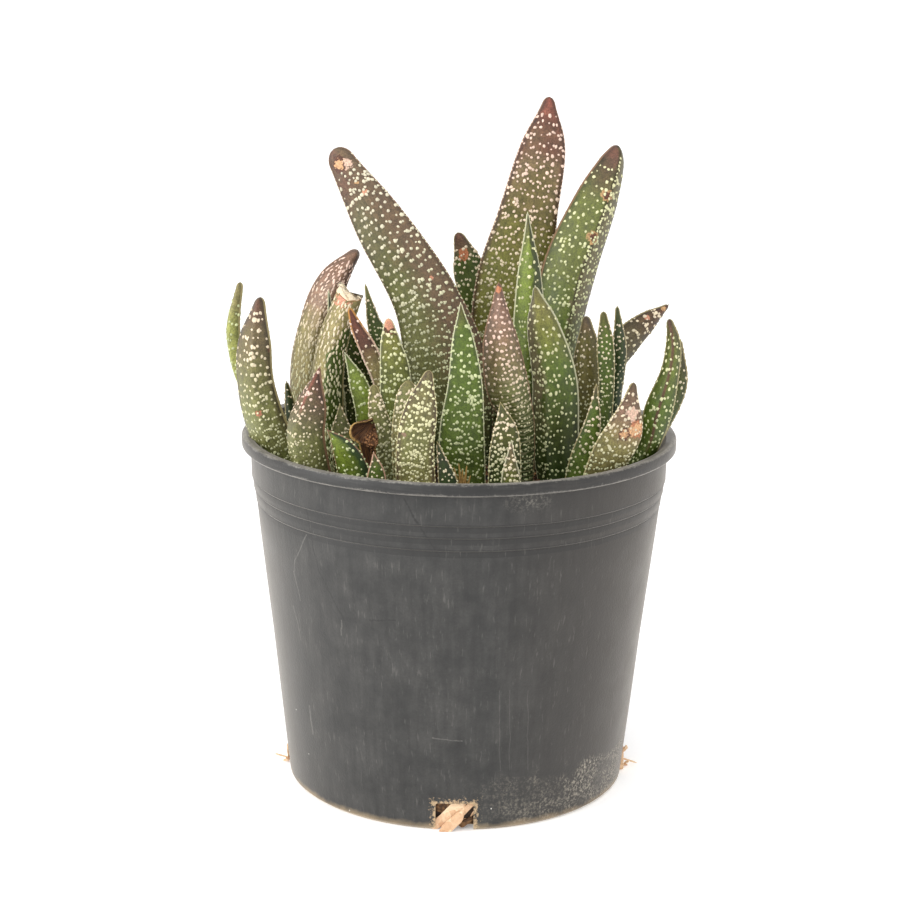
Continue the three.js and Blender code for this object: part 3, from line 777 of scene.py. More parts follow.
    def dot_places(self, rng: random.Random) -> list[tuple[float, float, bool, float]]:
        """Draws the places of the tubercles: apart from each other, in loose cross rows and short chains.

        Args:
            rng: The seeded draw.

        Returns:
            Share, place across, whether on the flat side, and size, for each dot.
        """
        dots = self.dots
        halves = self.half_width(self.shares)
        widest = float(halves.max())
        top = self.length * (1 - dots.bare_tip)
        found: list[tuple[float, float, bool, float]] = []
        for flat in (True, False):
            laid = np.empty((0, 2))
            for _ in range(round(DOT_TRIES * widest * top / dots.foot_gap**2)):
                along, sideways = rng.uniform(0.5, top), rng.uniform(-widest, widest)
                wave = noise.noise(Vector((sideways / 6, along / 9, widest))) * dots.band * 0.5
                row = round((along - wave) / dots.band) * dots.band + wave
                along = min(along + (row - along) * dots.banding * rng.random() ** 0.5, top)
                share = float(np.interp(along, self.lengths, self.shares))
                grown = float(smoothstep(0.1, 0.7, np.array(share)))
                gap = (dots.foot_gap + (dots.tip_gap - dots.foot_gap) * grown) * rng.uniform(0.8, 1.25)
                wide = dots.foot_size + (dots.size - dots.foot_size) * grown
                if len(laid) and np.min(np.hypot(*(laid - (sideways, along)).T)) < gap:
                    continue
                while True:
                    share = float(np.interp(along, self.lengths, self.shares))
                    reach = DOT_REACH * float(np.interp(share, self.shares, halves))
                    if abs(sideways) > reach or along > top:
                        break
                    size = wide * rng.triangular(0.5, 1.35, 0.95)
                    found.append((share, DOT_REACH * sideways / reach, flat, size))
                    laid = np.vstack([laid, (sideways, along)])
                    if rng.random() > dots.paired:
                        break
                    way = rng.choice((0, math.pi)) + rng.uniform(-0.7, 0.7)
                    sideways += 0.9 * size * math.cos(way)
                    along += 0.9 * size * math.sin(way)
        return found

    def raise_dots(self, bm: bmesh.types.BMesh, rng: random.Random) -> None:
        """Sets a low dome on the skin for each tubercle.

        Args:
            bm: The leaf's mesh, which the domes join.
            rng: The seeded draw.
        """
        places = [(*place, self.dots.stretch) for place in self.dot_places(rng)]
        margins = [(-MARGIN_BEAD, True), (MARGIN_BEAD, True)] if self.dots.beads else []
        for across, flat in margins + [(0.0, False)] * self.dots.keel_beads:
            height = BEAD_FROM
            while height < self.length * BEAD_TO:
                share = float(np.interp(height, self.lengths, self.shares))
                places.append((share, across, flat, BEAD_SIZE * rng.uniform(0.6, 1.25), BEAD_STRETCH))
                height += self.dots.beads * rng.uniform(0.55, 1.5)
        share, across, flat, sizes, stretch = (np.array(column) for column in zip(*places))
        flat = flat.astype(bool)
        points = self.surface(share, across, flat)
        aside = self.surface(share, np.clip(across + 0.03, -1, 1), flat)
        aside = aside - self.surface(share, np.clip(across - 0.03, -1, 1), flat)
        above = self.surface(np.clip(share + 0.006, 0, 1), across, flat)
        above = above - self.surface(share - 0.006, across, flat)
        aside, above = normalised(aside), normalised(above)
        normal = normalised(np.cross(aside, above)) * np.where(flat, 1, -1)[:, None]
        dome = bmesh.new()
        layers = {key: dome.verts.layers.float.new(key) for key in ("share", "tint")}
        for i, point in enumerate(points):
            size = sizes[i] * MM / 2
            height = size * DOT_HEIGHT
            up = Vector(normal[i])
            turn = Matrix.Rotation(rng.uniform(-0.4, 0.4), 3, up)
            x = turn @ Vector(aside[i]) * size * rng.uniform(0.85, 1.15)
            y = turn @ Vector(above[i]) * size * stretch[i] * rng.uniform(0.9, 1.3)
            place = Matrix((x, y, up * height)).transposed().to_4x4()
            place.translation = Vector(point) * MM + up * height * DOT_SINK
            made = bmesh.ops.create_cone(dome, cap_ends=True, segments=DOT_SIDES, radius1=1, radius2=DOT_TOP,
                                         depth=1, matrix=place)
            tint = rng.random()
            for vert in made["verts"]:
                vert.co += (vert.co - place.translation) * rng.uniform(-0.24, 0.24)
                vert[layers["share"]] = share[i]
                vert[layers["tint"]] = tint
        for face in dome.faces:
            face.smooth = True
            face.material_index = 1
        bmesh.ops.recalc_face_normals(dome, faces=dome.faces[:])
        absorb(bm, dome)

    def mucro(self, bm: bmesh.types.BMesh) -> None:
        """Ends the tip in its small horny point.

        Args:
            bm: The leaf's mesh.
        """
        stations = np.array(self.line, float)
        tip, before = catmull_rom(stations[:, :3], np.array([1.0, 0.97]), clamped=False)
        way = Vector(tip - before).normalized()
        place = way.to_track_quat("Z", "Y").to_matrix().to_4x4()
        place.translation = Vector(tip) * MM
        wide, narrow, long = (size * MM for size in MUCRO)
        made = bmesh.ops.create_cone(bm, cap_ends=True, segments=8, radius1=wide, radius2=narrow, depth=long,
                                     matrix=place)
        layer = bm.verts.layers.float["share"]
        for vert in made["verts"]:
            vert[layer] = 1.0
            for face in vert.link_faces:
                face.smooth = True

    def finishes(self) -> list[bpy.types.Material]:
        """The skin and the dots, with the marks placed on this leaf."""
        if self.dots is None:
            return [self.skin.material(f"dry_leaf_tissue_{self.name}")]
        at = [(mark.share, mark.across, mark.side is Side.FLAT) for mark in self.skin.marks]
        spots = [tuple(self.surface(*(np.array([value]) for value in place))[0] * MM) for place in at]
        return [self.skin.material(f"waxy_skin_{self.name}", spots),
                self.dots.material(f"cuticle_{self.name}")]

    def build(self) -> bpy.types.Object:
        """Models and dresses the leaf.

        Returns:
            The finished piece.
        """
        node = f"leaf_{self.name}"
        rng = random.Random(node)
        bm = self.body()
        if self.dots is not None:
            self.raise_dots(bm, rng)
            if not self.cut and self.line[-1][3] <= 2:
                self.mucro(bm)
        piece = settle(bm, f"gasteria_{node}", *self.finishes())
        seat(piece, self.skin.slot, node)
        return piece


CUT_CRUST = ((0.2, 0.25), (0.35, 0.45), (0.6, 0.15), (0.9, -0.3), (0.9, -0.2), (0.8, 0.1))
CUT_PEAK = 1.3


@dataclass(frozen=True)
class CutCrust:
    """Dried sap and pulp on a cut leaf end: matt, cream, cracked and browned at its corners."""

    pulp: int = PULP
    shade: int = 0xC3A680
    corner: int = 0x8C6442

    def material(self, name: str) -> bpy.types.Material:
        """Makes the crust.

        Args:
            name: The material's name.

        Returns:
            The material.
        """
        material, add = new_material(name)
        place = add("TexCoord").outputs["Object"]
        cloud, fine = (
            add("TexNoise", {"Vector": place, "Scale": 1 / (width * MM), "Detail": detail})
            for width, detail in ((2.5, 5.0), (0.6, 4.0)))
        stops = ((0.26, self.corner), (0.34, self.shade), (0.44, self.pulp))
        colour = add("ValToRGB", {0: cloud}, stops=stops)
        bump = add("Bump", {"Height": fine, "Strength": 0.9, "Distance": 0.5 * MM})
        add("OutputMaterial", {"Surface": add("BsdfPrincipled", {
            "Base Color": colour, "Roughness": 0.8, "Normal": bump, "Subsurface Weight": 0.2,
            "Subsurface Radius": (1.0, 0.7, 0.4), "Subsurface Scale": 1.0 * MM})})
        return material


class CutLeaf(Leaf):
    """A leaf whose end was cut off and has dried into a torn cream crust."""

    def body(self) -> bmesh.types.BMesh:
        """Builds up the crust on the closed cut end.

        Returns:
            The mesh, in metres.
        """
        bm = super().body()
        layer = bm.verts.layers.float["share"]
        caps = [face for face in bm.faces if len(face.verts) > 8]
        cap = max(caps, key=lambda face: face.calc_center_median().z)
        cap.material_index = 2
        for step, (inset, rise) in enumerate(CUT_CRUST):
            made = bmesh.ops.inset_region(bm, faces=[cap], thickness=inset * MM, depth=rise * MM,
                                          use_even_offset=False, use_boundary=True)
            middle = cap.calc_center_median()
            for face in made["faces"]:
                face.material_index = 3 if step == 0 and face.calc_center_median().y < middle.y else 2
            for vert in cap.verts:
                aside = max((middle.x - vert.co.x) / (5 * MM), 0)
                high = aside * max((vert.co.y - middle.y) / (3 * MM) + 0.6, 0)
                vert.co += cap.normal * (noise.noise(vert.co / (2.4 * MM)) * 0.6 + high * CUT_PEAK) * MM
                vert[layer] = 1.0
        bmesh.ops.poke(bm, faces=[cap])
        return bm

    def finishes(self) -> list[bpy.types.Material]:
        """The skin, the dots, the crust and its browned edge."""
        edge = CutCrust(pulp=0x8A5A36, shade=0x6E4428, corner=0x553220)
        return [*super().finishes(), CutCrust().material(f"dried_pulp_{self.name}"),
                edge.material(f"browned_skin_edge_{self.name}")]


# The torn flake's rim as right and up from its middle, from its torn corner round by the top.
FLAKE_RIM = ((3.1, 5.6), (0.9, 4.7), (-1.3, 4.3), (-3.3, 3.8), (-4.8, 2.6), (-5.4, 0.4), (-5.0, -1.5),
             (-3.5, -3.0), (-1.3, -4.2), (1.7, -5.2), (3.9, -5.4), (5.4, -3.8), (4.5, -0.8), (3.8, 2.6))
FLAKE_CORNER = (3.4, 4.3)
FLAKE_MIDDLE = (-35.2, -53.0, 151.4)
FLAKE_CUP = 2.4
FLAKE_ROLL = 1.0
FLAKE_THICKNESS = 0.3


class DeadLeaf(Leaf):
    """A dead leaf: a shrunken stalk that carries a torn, cupped flake of dry skin with a rolled rim."""

    def body(self) -> bmesh.types.BMesh:
        """Adds the flake to the stalk.

        Returns:
            The mesh, in metres.
        """
        bm = super().body()
        uv = bm.loops.layers.uv["skin_mm"]
        layers = {key: bm.verts.layers.float[key] for key in ("share", "across", "edge_mm")}
        verts = bmesh.ops.create_grid(bm, x_segments=84, y_segments=26, size=0.5)["verts"]
        grid = np.array([vert.co[:2] for vert in verts]) + 0.5
        rim = catmull_rom(np.array(FLAKE_RIM), grid[:, 0], clamped=False)
        corner = np.array(FLAKE_CORNER)
        reach = 0.12 + 0.88 * grid[:, 1]
        flat = corner + (rim - corner) * reach[:, None]
        blistered = smoothstep(0.58, 0.7, grid[:, 0]) * smoothstep(0.35, 0.6, reach)
        rolled = FLAKE_ROLL * np.sin(np.pi * smoothstep(0.78, 1.0, reach))
        cupped = FLAKE_CUP * np.sin(np.pi * reach**0.8) - rolled
        maps = {}
        bm.verts.index_update()
        for i, vert in enumerate(verts):
            fibre = noise.noise(Vector((grid[i, 0] * 42, reach[i] * 2, 3))) * 0.45 * min(reach[i] * 3, 1)
            blister = max(noise.noise(Vector((*flat[i], 0)) / 0.75), 0) * 1.3 * blistered[i]
            depth = cupped[i] + fibre - blister
            vert.co = (Vector(FLAKE_MIDDLE) + Vector((flat[i, 0], depth, flat[i, 1]))) * MM
            vert[layers["share"]] = 0.6
            vert[layers["across"]] = blistered[i]
            vert[layers["edge_mm"]] = (1 - reach[i]) * 7 + 2 * blistered[i]
            maps[vert.index] = (grid[i, 0] * 34, reach[i] * 8)
        faces = list(dict.fromkeys(face for vert in verts for face in vert.link_faces))
        for face in faces:
            face.smooth = True
            for loop in face.loops:
                loop[uv].uv = maps[loop.vert.index]
        bmesh.ops.recalc_face_normals(bm, faces=faces)
        bm.normal_update()
        made = bmesh.ops.extrude_face_region(bm, geom=faces, use_keep_orig=True)["geom"]
        for vert in made:
            if isinstance(vert, bmesh.types.BMVert):
                vert.co += vert.normal * FLAKE_THICKNESS * MM
        flake = {*faces, *(face for face in made if isinstance(face, bmesh.types.BMFace))}
        walls = {face for edge in made if isinstance(edge, bmesh.types.BMEdge) for face in edge.link_faces}
        bmesh.ops.recalc_face_normals(bm, faces=list(flake | walls))
        return bm


@dataclass(frozen=True)
class FibreTuft:
    """The shreds of an old leaf's base, which stand between the front leaves.

    Args:
        foot: Where they leave the mix.
        strands: Where each shred ends.
    """

    foot: Point = (1.5, -54.5, 124.0)
    strands: tuple[Point, ...] = (
        (-3.4, -55.0, 136.4), (-1.8, -55.4, 139.6), (0.0, -55.2, 141.2), (1.4, -55.6, 139.0),
        (3.0, -55.2, 140.2), (4.4, -55.6, 136.6), (0.2, -56.0, 136.0))

    def build(self) -> bpy.types.Object:
        """Models and dresses the tuft.

        Returns:
            The finished piece.
        """
        bm = bmesh.new()
        for i, (x, y, z) in enumerate(self.strands):
            foot_x, foot_y, foot_z = self.foot
            start = foot_x + (x - foot_x) * 0.5
            line = ((start, foot_y, foot_z, 1.6), (start, foot_y - 0.2, (foot_z + z) / 2, 1.3),
                    (x, y, z, 0.4))
            absorb(bm, Leaf(f"shred_{i}", DeadSkin(), None, -90, 0.8, line).body())
        finish = DeadSkin(core=0x2A1810, fibre=0x6B4628).material("dry_leaf_fibre")
        piece = settle(bm, "old_leaf_fibres", finish)
        seat(piece, Slot.DEAD)
        return piece


# ---------------------------------------------------------------- pot

@dataclass(frozen=True)
class Scratch:
    """A scuff on the pot's wall, straight but for a slight wander.

    Args:
        start: Its first end: the distance round the wall from the front, and the height.
        end: Its other end.
        width: Its width.
        strength: How strongly it shows, 0 to 1.
        dark: Whether it is darker than the wall.
    """

    start: tuple[float, float]
    end: tuple[float, float]
    width: float = 0.7
    strength: float = 0.32
    dark: bool = False


SCRATCHES = (
    Scratch((-18.4, 134.0), (-13.8, 125.5), 1.0, 0.8, dark=True),
    Scratch((-13.8, 125.5), (-6.0, 112.4), 1.0, 0.7, dark=True),
    Scratch((-57.0, 124.4), (-55.8, 108.1), 1.1, 0.75, dark=True),
    Scratch((-55.8, 108.1), (-53.3, 99.2), 1.0, 0.7, dark=True),
    Scratch((-53.3, 99.2), (-43.4, 82.4), 1.0, 0.65, dark=True),
    Scratch((-32.5, 84.4), (-22.6, 85.8), 0.9, 0.65, dark=True),
    Scratch((-58.6, 113.4), (-67.1, 100.6)), Scratch((-67.1, 100.6), (-68.6, 95.8)),
    Scratch((-68.6, 95.8), (-66.4, 85.0)), Scratch((-71.9, 81.4), (-68.7, 68.0)),
    Scratch((-44.8, 82.1), (-45.3, 76.0)), Scratch((-67.9, 40.8), (-67.7, 29.4), 1.4),
    Scratch((-8.8, 38.9), (2.6, 38.0), 0.6), Scratch((16.6, 58.6), (18.2, 25.2), 0.6, 0.14),
    Scratch((20.5, 58.2), (22.4, 24.8), 0.5, 0.14), Scratch((27.9, 57.5), (30.3, 23.8), 0.6, 0.14))


@dataclass(frozen=True)
class PotPlastic:
    """Black polypropylene, injection moulded: matt charcoal, scuffed, with lime, dust and earth on it, and
    painted shade on its right side, its lip and its rings.
    """

    unrolled_radius: float = 75.0
    body: int = 0x171716
    dulled: int = 0x343331
    dark_shade_and_scratch: int = 0x121110
    scuffed: int = 0x7C7973
    right_shade: int = 0x261F18
    worn: int = 0x8A867F
    lime: int = 0xA79E8D
    dust: int = 0x8F8A80
    earth: int = 0x9A8668
    deposit: int = 0xB59A76
    speck: int = 0xC9C6BE
    rings: tuple[float, ...] = (113.4, 118.4, 123.1)
    notch: tuple[float, float] = (7.25, 11.5)

    def material(self, name: str) -> bpy.types.Material:
        """Makes the plastic.

        Args:
            name: The material's name.

        Returns:
            The material.
        """
        material, add = new_material(name)
        place = add("TexCoord").outputs["Object"]
        x, y, z = add("SeparateXYZ", {0: place}).outputs
        front = add("Math", {0: y, 1: -1.0}, operation="MULTIPLY")
        turn = add("Math", {0: x, 1: front}, operation="ARCTAN2")
        round_mm = add("Math", {0: turn, 1: self.unrolled_radius}, operation="MULTIPLY")
        up_mm = add("Math", {0: z, 1: 1 / MM}, operation="MULTIPLY")
        wall = add("CombineXYZ", {0: round_mm, 1: up_mm})

        # Clouds of 11 mm dull it, a grain of 0.8 mm speckles it and lime lies on it in flecks of 1.1 mm.
        cloud, grain, flecks = (
            add("TexNoise", {"Vector": place, "Scale": 1 / (width * MM), "Detail": detail,
                                        "Roughness": roughness})
            for width, detail, roughness in ((11, 6.0, 0.6), (0.8, 3.0, 0.5), (1.1, 5.0, 0.7)))
        # Faint flow lines run up the wall, short scuffs up and down it and streaks along the lip, each as
        # wide and as high as here.
        flow, stroke, streak = (
            add("TexNoise", {
                "Vector": add("Mapping", {"Vector": place, "Scale": (
                    1 / (width * MM), 1 / (width * MM), 1 / (height * MM))}),
                "Scale": 1.0, "Detail": detail})
            for width, height, detail in ((2.5, 35, 3.0), (0.9, 7, 4.0), (9, 0.8, 5.0)))
        body = add("ValToRGB", {0: cloud}, stops=((0.32, self.body), (0.72, self.dulled)))
        speckle = add("Math", {0: grain, 1: 0.5, 2: flow}, operation="MULTIPLY_ADD")
        value = add("MapRange", {0: speckle, 1: 0.5, 2: 1.0, 3: 0.66, 4: 1.34})
        # Painted shade darkens the wall's right side, from 12 mm to 62 mm right of the middle.
        right_side_shade = add("MapRange", {0: x, 1: 12 * MM, 2: 62 * MM, 3: 0.0, 4: 0.75})
        layers: list[Layer] = [(value, None), (right_side_shade, self.right_shade)]

        # A painted shadow lies in a dark band at each stepped ring.
        broken = add("Math", {0: cloud, 1: 1.6, 2: up_mm}, operation="MULTIPLY_ADD")
        for ring in self.rings:
            off = add("Math", {0: broken, 1: ring + 0.8, 2: 1.6}, operation="COMPARE")
            deep = add("Math", {0: off, 1: 0.55}, operation="MULTIPLY")
            layers.append((deep, self.dark_shade_and_scratch))

        # The pale scuffs are thickest in the clouds.
        thick = add("Math", {0: cloud, 1: 0.35, 2: stroke}, operation="MULTIPLY_ADD")
        scuffs = add("MapRange", {0: thick, 1: 0.8, 2: 1.02, 3: 0.0, 4: 0.3})
        layers += [(scuffs, self.scuffed), *self.scratched(add, wall, grain)]

        # Lime has dried in flecks low on the right, and dust under the lip there.
        climb = add("Math", {0: cloud, 1: -24.0, 2: up_mm}, operation="MULTIPLY_ADD")
        below = add("MapRange", {0: climb, 1: 6.0, 2: 10.0, 3: 1.0, 4: 0.0})
        right = add("MapRange", {0: x, 1: 2 * MM, 2: 48 * MM})
        patchy = add("MapRange", {0: cloud, 1: 0.42, 2: 0.58, 3: 0.3, 4: 1.2})
        side = add("Math", {0: right, 1: patchy}, operation="MULTIPLY")
        area = add("Math", {0: below, 1: side}, operation="MULTIPLY")
        fleck = add("MapRange", {0: flecks, 1: 0.48, 2: 0.66, 3: 0.0, 4: 0.7})
        crust = add("Math", {0: fleck, 1: area}, operation="MULTIPLY")
        patch = add("Mapping", {"Vector": wall, "Location": (-24 / 9, -133 / 4.5, 0),
                                           "Scale": (1 / 9, 1 / 4.5, 1)})
        reach = add("VectorMath", {0: patch}, operation="LENGTH").outputs["Value"]
        soft = add("MapRange", {0: reach, 1: 0.2, 2: 1.2, 3: 0.7, 4: 0.0})
        dusty = add("Math", {0: soft, 1: fleck}, operation="MULTIPLY")

        # White specks 0.6 mm wide lie here and there.
        cells = add("TexVoronoi", {"Vector": wall, "Scale": 1 / 8})
        chosen = add("SeparateXYZ", {0: cells.outputs["Color"]})
        few = add("MapRange", {0: chosen, 1: 0.9, 2: 0.92})
        speck = add("MapRange", {0: cells, 1: 0.03, 2: 0.05, 3: 1.0, 4: 0.0})
        specks = add("Math", {0: few, 1: speck}, operation="MULTIPLY")

        # The lip is darkened in streaks, partly painted shade where it catches the light from above and
        # partly stain, and its upper and lower corners are rubbed pale and ragged.
        level = add("CombineXYZ", {0: x, 1: y})
        out = add("VectorMath", {0: level}, operation="LENGTH").outputs["Value"]
        lip = add("MapRange", {0: out, 1: 83.2 * MM, 2: 84.0 * MM})
        black = add("MapRange", {0: streak, 1: 0.62, 2: 0.4, 3: 0.25, 4: 0.85})
        stained = add("Math", {0: black, 1: lip}, operation="MULTIPLY")
        ragged: Link = up_mm
        for pattern in (streak, flecks):
            ragged = add("Math", {0: pattern, 1: 2.5, 2: ragged}, operation="MULTIPLY_ADD")
        upper = add("MapRange", {0: ragged, 1: 142.6, 2: 143.6, 3: 0.0, 4: 0.7})
        lower = add("MapRange", {0: ragged, 1: 138.3, 2: 139.4, 3: 0.6, 4: 0.0})
        corners = add("Math", {0: upper, 1: lower}, operation="MAXIMUM")
        rubbed = add("Math", {0: corners, 1: lip}, operation="MULTIPLY")

        # Earth has dried along the base and round the notches.
        low = add("Math", {0: cloud, 1: -6.0, 2: up_mm}, operation="MULTIPLY_ADD")
        band = add("MapRange", {0: low, 1: -2.6, 2: 0.4, 3: 0.8, 4: 0.0})
        flat_x, flat_y = (add("Math", {0: value}, operation="ABSOLUTE") for value in (x, y))
        nearer = add("Math", {0: flat_x, 1: flat_y}, operation="MINIMUM")
        aside = add("Math", {0: nearer, 1: 1 / MM, 2: -self.notch[0]}, operation="MULTIPLY_ADD")
        above = add("Math", {0: up_mm, 1: self.notch[1]}, operation="SUBTRACT")
        frame_mm = add("Math", {0: aside, 1: above}, operation="MAXIMUM")
        crumbled = add("Math", {0: flecks, 1: -12.0, 2: frame_mm}, operation="MULTIPLY_ADD")
        caked = add("MapRange", {0: crumbled, 1: -6.0, 2: -4.4, 3: 0.9, 4: 0.0})
        layers += [(crust, self.lime), (dusty, self.dust), (specks, self.speck), (stained, self.dark_shade_and_scratch),
                   (rubbed, self.worn), (band, self.earth), (caked, self.deposit)]

        height: Link = grain
        for pattern in (crust, caked):
            height = add("Math", {0: pattern, 1: 2.0, 2: height}, operation="MULTIPLY_ADD")
        bump = add("Bump", {"Height": height, "Strength": 0.35, "Distance": 0.2 * MM})
        rough = add("MapRange", {0: cloud, 1: 0.3, 2: 0.7, 3: 0.44, 4: 0.6})
        add("OutputMaterial", {"Surface": add("BsdfPrincipled", {
            "Base Color": lay_over(add, body, layers), "Roughness": rough, "Normal": bump, "IOR": 1.49,
            "Sheen Weight": 0.42, "Sheen Roughness": 0.4, "Sheen Tint": (1.0, 0.92, 0.82, 1.0)})})
        return material

    def scratched(self, add: AddNode, wall: Link, grain: Link) -> list[Layer]:
        """Draws the scratches, each wandering about 1 mm and broken up by the grain.

        Args:
            add: What adds a node to the material.
            wall: The place on the unrolled wall, in millimetres.
            grain: The fine grain.

        Returns:
            A layer for each scratch.
        """
        sway = add("TexNoise", {"Vector": wall, "Scale": 1 / 7, "Detail": 3.0})
        wander = add("VectorMath", {0: sway.outputs["Color"], 1: (1.8, 1.8, 0.0), 2: wall},
                          operation="MULTIPLY_ADD")
        layers: list[Layer] = []
        for scratch in SCRATCHES:
            start, end = Vector((*scratch.start, 0)), Vector((*scratch.end, 0))
            run, width = end - start, scratch.width
            offset = add("VectorMath", {0: wander, 1: start + Vector((0.9, 0.9, 0))}, operation="SUBTRACT")
            along = add("VectorMath", {0: offset, 1: run / run.length_squared}, operation="DOT_PRODUCT")
            held = add("MapRange", {0: along.outputs["Value"]})
            nearest = add("VectorMath", {0: run, "Scale": held}, operation="SCALE")
            apart = add("VectorMath", {0: offset, 1: nearest}, operation="DISTANCE")
            ragged = add("Math", {0: grain, 1: width, 2: apart.outputs["Value"]}, operation="MULTIPLY_ADD")
            line = add("MapRange", {0: ragged, 1: width * 0.55, 2: width, 3: scratch.strength, 4: 0.0})
            layers.append((line, self.dark_shade_and_scratch if scratch.dark else self.scuffed))
        return layers


@dataclass
class NurseryPot:
    """The thin tapered pot with a rolled lip, three stepped rings and four drain notches.

    Args:
        height: Its whole height.
        lip_radius: The lip's outer radius.
        lip_depth: How far down the lip hangs.
        wall_top: The wall's outer radius under the lip.
        base: The wall's outer radius at the foot.
        wall: The wall's thickness.
        floor: The floor's thickness.
        rings: The heights of the stepped rings.
        ring_step: How far each ring stands further out.
        notch: The width, height and corner radius of a drain notch.
        notch_depth: How far from the middle a notch starts.
        sides: The number of facets round it.
    """

    height: float = 140.7
    lip_radius: float = 85.7
    lip_depth: float = 4.7
    wall_top: float = 82.3
    base: float = 67.5
    wall: float = 1.3
    floor: float = 2.2
    rings: tuple[float, ...] = (114.0, 119.0, 123.7)
    ring_step: float = 0.35
    notch: tuple[float, float, float] = (14.5, 11.5, 0.9)
    notch_depth: float = 61.0
    sides: int = 256

    def radius(self, z: float) -> float:
        """The wall's outer radius at a height."""
        return self.base + (self.wall_top - self.base) * z / (self.height - self.lip_depth)

    def profile(self) -> list[tuple[float, float]]:
        """Draws the pot's section from the axis under the floor to the axis on it.

        Returns:
            The corners as radius and height.
        """
        under = self.height - self.lip_depth
        steps = []
        for i, z in enumerate(self.rings):
            at, step = self.radius(z), self.ring_step
            steps += [(at + step * i, z - 0.5), (at + step * (i - 0.35), z), (at + step * (i + 1), z + 0.5),
                      (at + step * (i + 1), z + 1.5)]
        climb = [(self.radius(z), z) for z in (1.2, 20.0, 40.0, 60.0, 80.0, 100.0)]
        return [(0, 0), (self.base - 1.2, 0), *climb, *steps, (self.wall_top, under),
                (self.lip_radius - 0.6, under), (self.lip_radius, under + 0.6),
                (self.lip_radius, self.height - 1.0),
                (self.lip_radius - 0.5, self.height - 0.25), (self.lip_radius - 1.2, self.height),
                (self.wall_top - 0.6, self.height - 0.5), (self.wall_top - self.wall, under),
                (self.base - self.wall + 0.4, self.floor + 2), (self.base - self.wall - 1.5, self.floor),
                (0, self.floor)]

    def shell(self) -> bmesh.types.BMesh:
        """Spins the section into the shell, a little out of true as thin plastic is.

        Returns:
            The mesh, in metres.
        """
        bm = spun(self.profile(), self.sides)
        for vert in bm.verts:
            sway = noise.noise(vert.co / (38 * MM)) * 0.35 * MM * min(vert.co.z / (60 * MM), 1)
            vert.co += Vector((vert.co.x, vert.co.y, 0)).normalized() * (sway - 0.2 * MM)
        return bm

    def notch_cutter(self) -> bpy.types.Object:
        """Makes the four arch-topped blocks that the notches are cut with.

        Returns:
            A passing object, which the caller removes.
        """
        width, height, corner = self.notch
        bm = bmesh.new()
        for quarter in range(4):
            verts = bmesh.ops.create_cube(bm, size=1.0)["verts"]
            bmesh.ops.scale(bm, vec=(width * MM, 20 * MM, (height + 2) * MM), verts=verts)
            top = []
            for edge in dict.fromkeys(edge for vert in verts for edge in vert.link_edges):
                start, end = (vert.co for vert in edge.verts)
                if start.z > 0 and end.z > 0 and abs(start.y - end.y) > MM:
                    top.append(edge)
            rounded = bmesh.ops.bevel(bm, geom=top, offset=corner * MM, segments=6, affect="EDGES",
                                      profile=0.5, material=-1)
            verts = list(dict.fromkeys([*(vert for vert in verts if vert.is_valid), *rounded["verts"]]))
            place = (0, -(self.notch_depth + 10) * MM, (height / 2 - 1) * MM)
            bmesh.ops.translate(bm, vec=place, verts=verts)
            turn = Matrix.Rotation(quarter * math.pi / 2, 3, "Z")
            bmesh.ops.rotate(bm, cent=(0, 0, 0), matrix=turn, verts=verts)
        return settle(bm, "notch_cutter")

    def build(self) -> bpy.types.Object:
        """Models and dresses the pot.

        Returns:
            The finished piece.
        """
        piece = settle(self.shell(), "nursery_pot", PotPlastic().material("moulded_black_polypropylene"))
        cutter = self.notch_cutter()
        cut = piece.modifiers.new("notches", "BOOLEAN")
        cut.operation, cut.solver, cut.object = "DIFFERENCE", "EXACT", cutter
        mesh = bpy.data.meshes.new_from_object(piece.evaluated_get(bpy.context.evaluated_depsgraph_get()))
        piece.modifiers.clear()
        piece.data = mesh
        bpy.data.objects.remove(cutter)
        mesh.set_sharp_from_angle(angle=math.radians(35))
        mesh.polygons.foreach_set("use_smooth", [True] * len(mesh.polygons))
        seat(piece, Slot.POT, "pot")
        return piece


# ---------------------------------------------------------------- mix

@dataclass(frozen=True)
class BarkMix:
    """Composted pine bark and loam: matt, dark and damp below, with dry tan flakes.

    Args:
        dark: Its darkest tone.
        mid: Its middle tone.
        dry: The tone of its dry flakes.
        lift: How far the tones are shifted to the dry end.
    """

    dark: int = 0x1E150E
    mid: int = 0x4A3320
    dry: int = 0x9B7248
    lift: float = 0.0

    def material(self, name: str) -> bpy.types.Material:
        """Makes the mix.

        Args:
            name: The material's name.

        Returns:
            The material.
        """
        material, add = new_material(name)
        place = add("TexCoord").outputs["Object"]
        patches = add("TexVoronoi", {"Vector": place, "Scale": 1 / (4 * MM)})
        shade = add("SeparateXYZ", {0: patches.outputs["Color"]})
        grain = add("TexNoise", {"Vector": place, "Scale": 1 / (1.1 * MM), "Detail": 5.0})
        both = add("Math", {0: shade, 1: grain}, operation="MULTIPLY")
        lifted = add("Math", {0: both, 1: self.lift}, operation="ADD")
        stops = ((0.05, self.dark), (0.3, self.mid), (0.62, self.dry))
        colour = add("ValToRGB", {0: lifted}, stops=stops)
        bump = add("Bump", {"Height": grain, "Strength": 1.0, "Distance": 0.6 * MM})
        add("OutputMaterial", {"Surface": add("BsdfPrincipled", {
            "Base Color": colour, "Roughness": 0.9, "Normal": bump})})
        return material


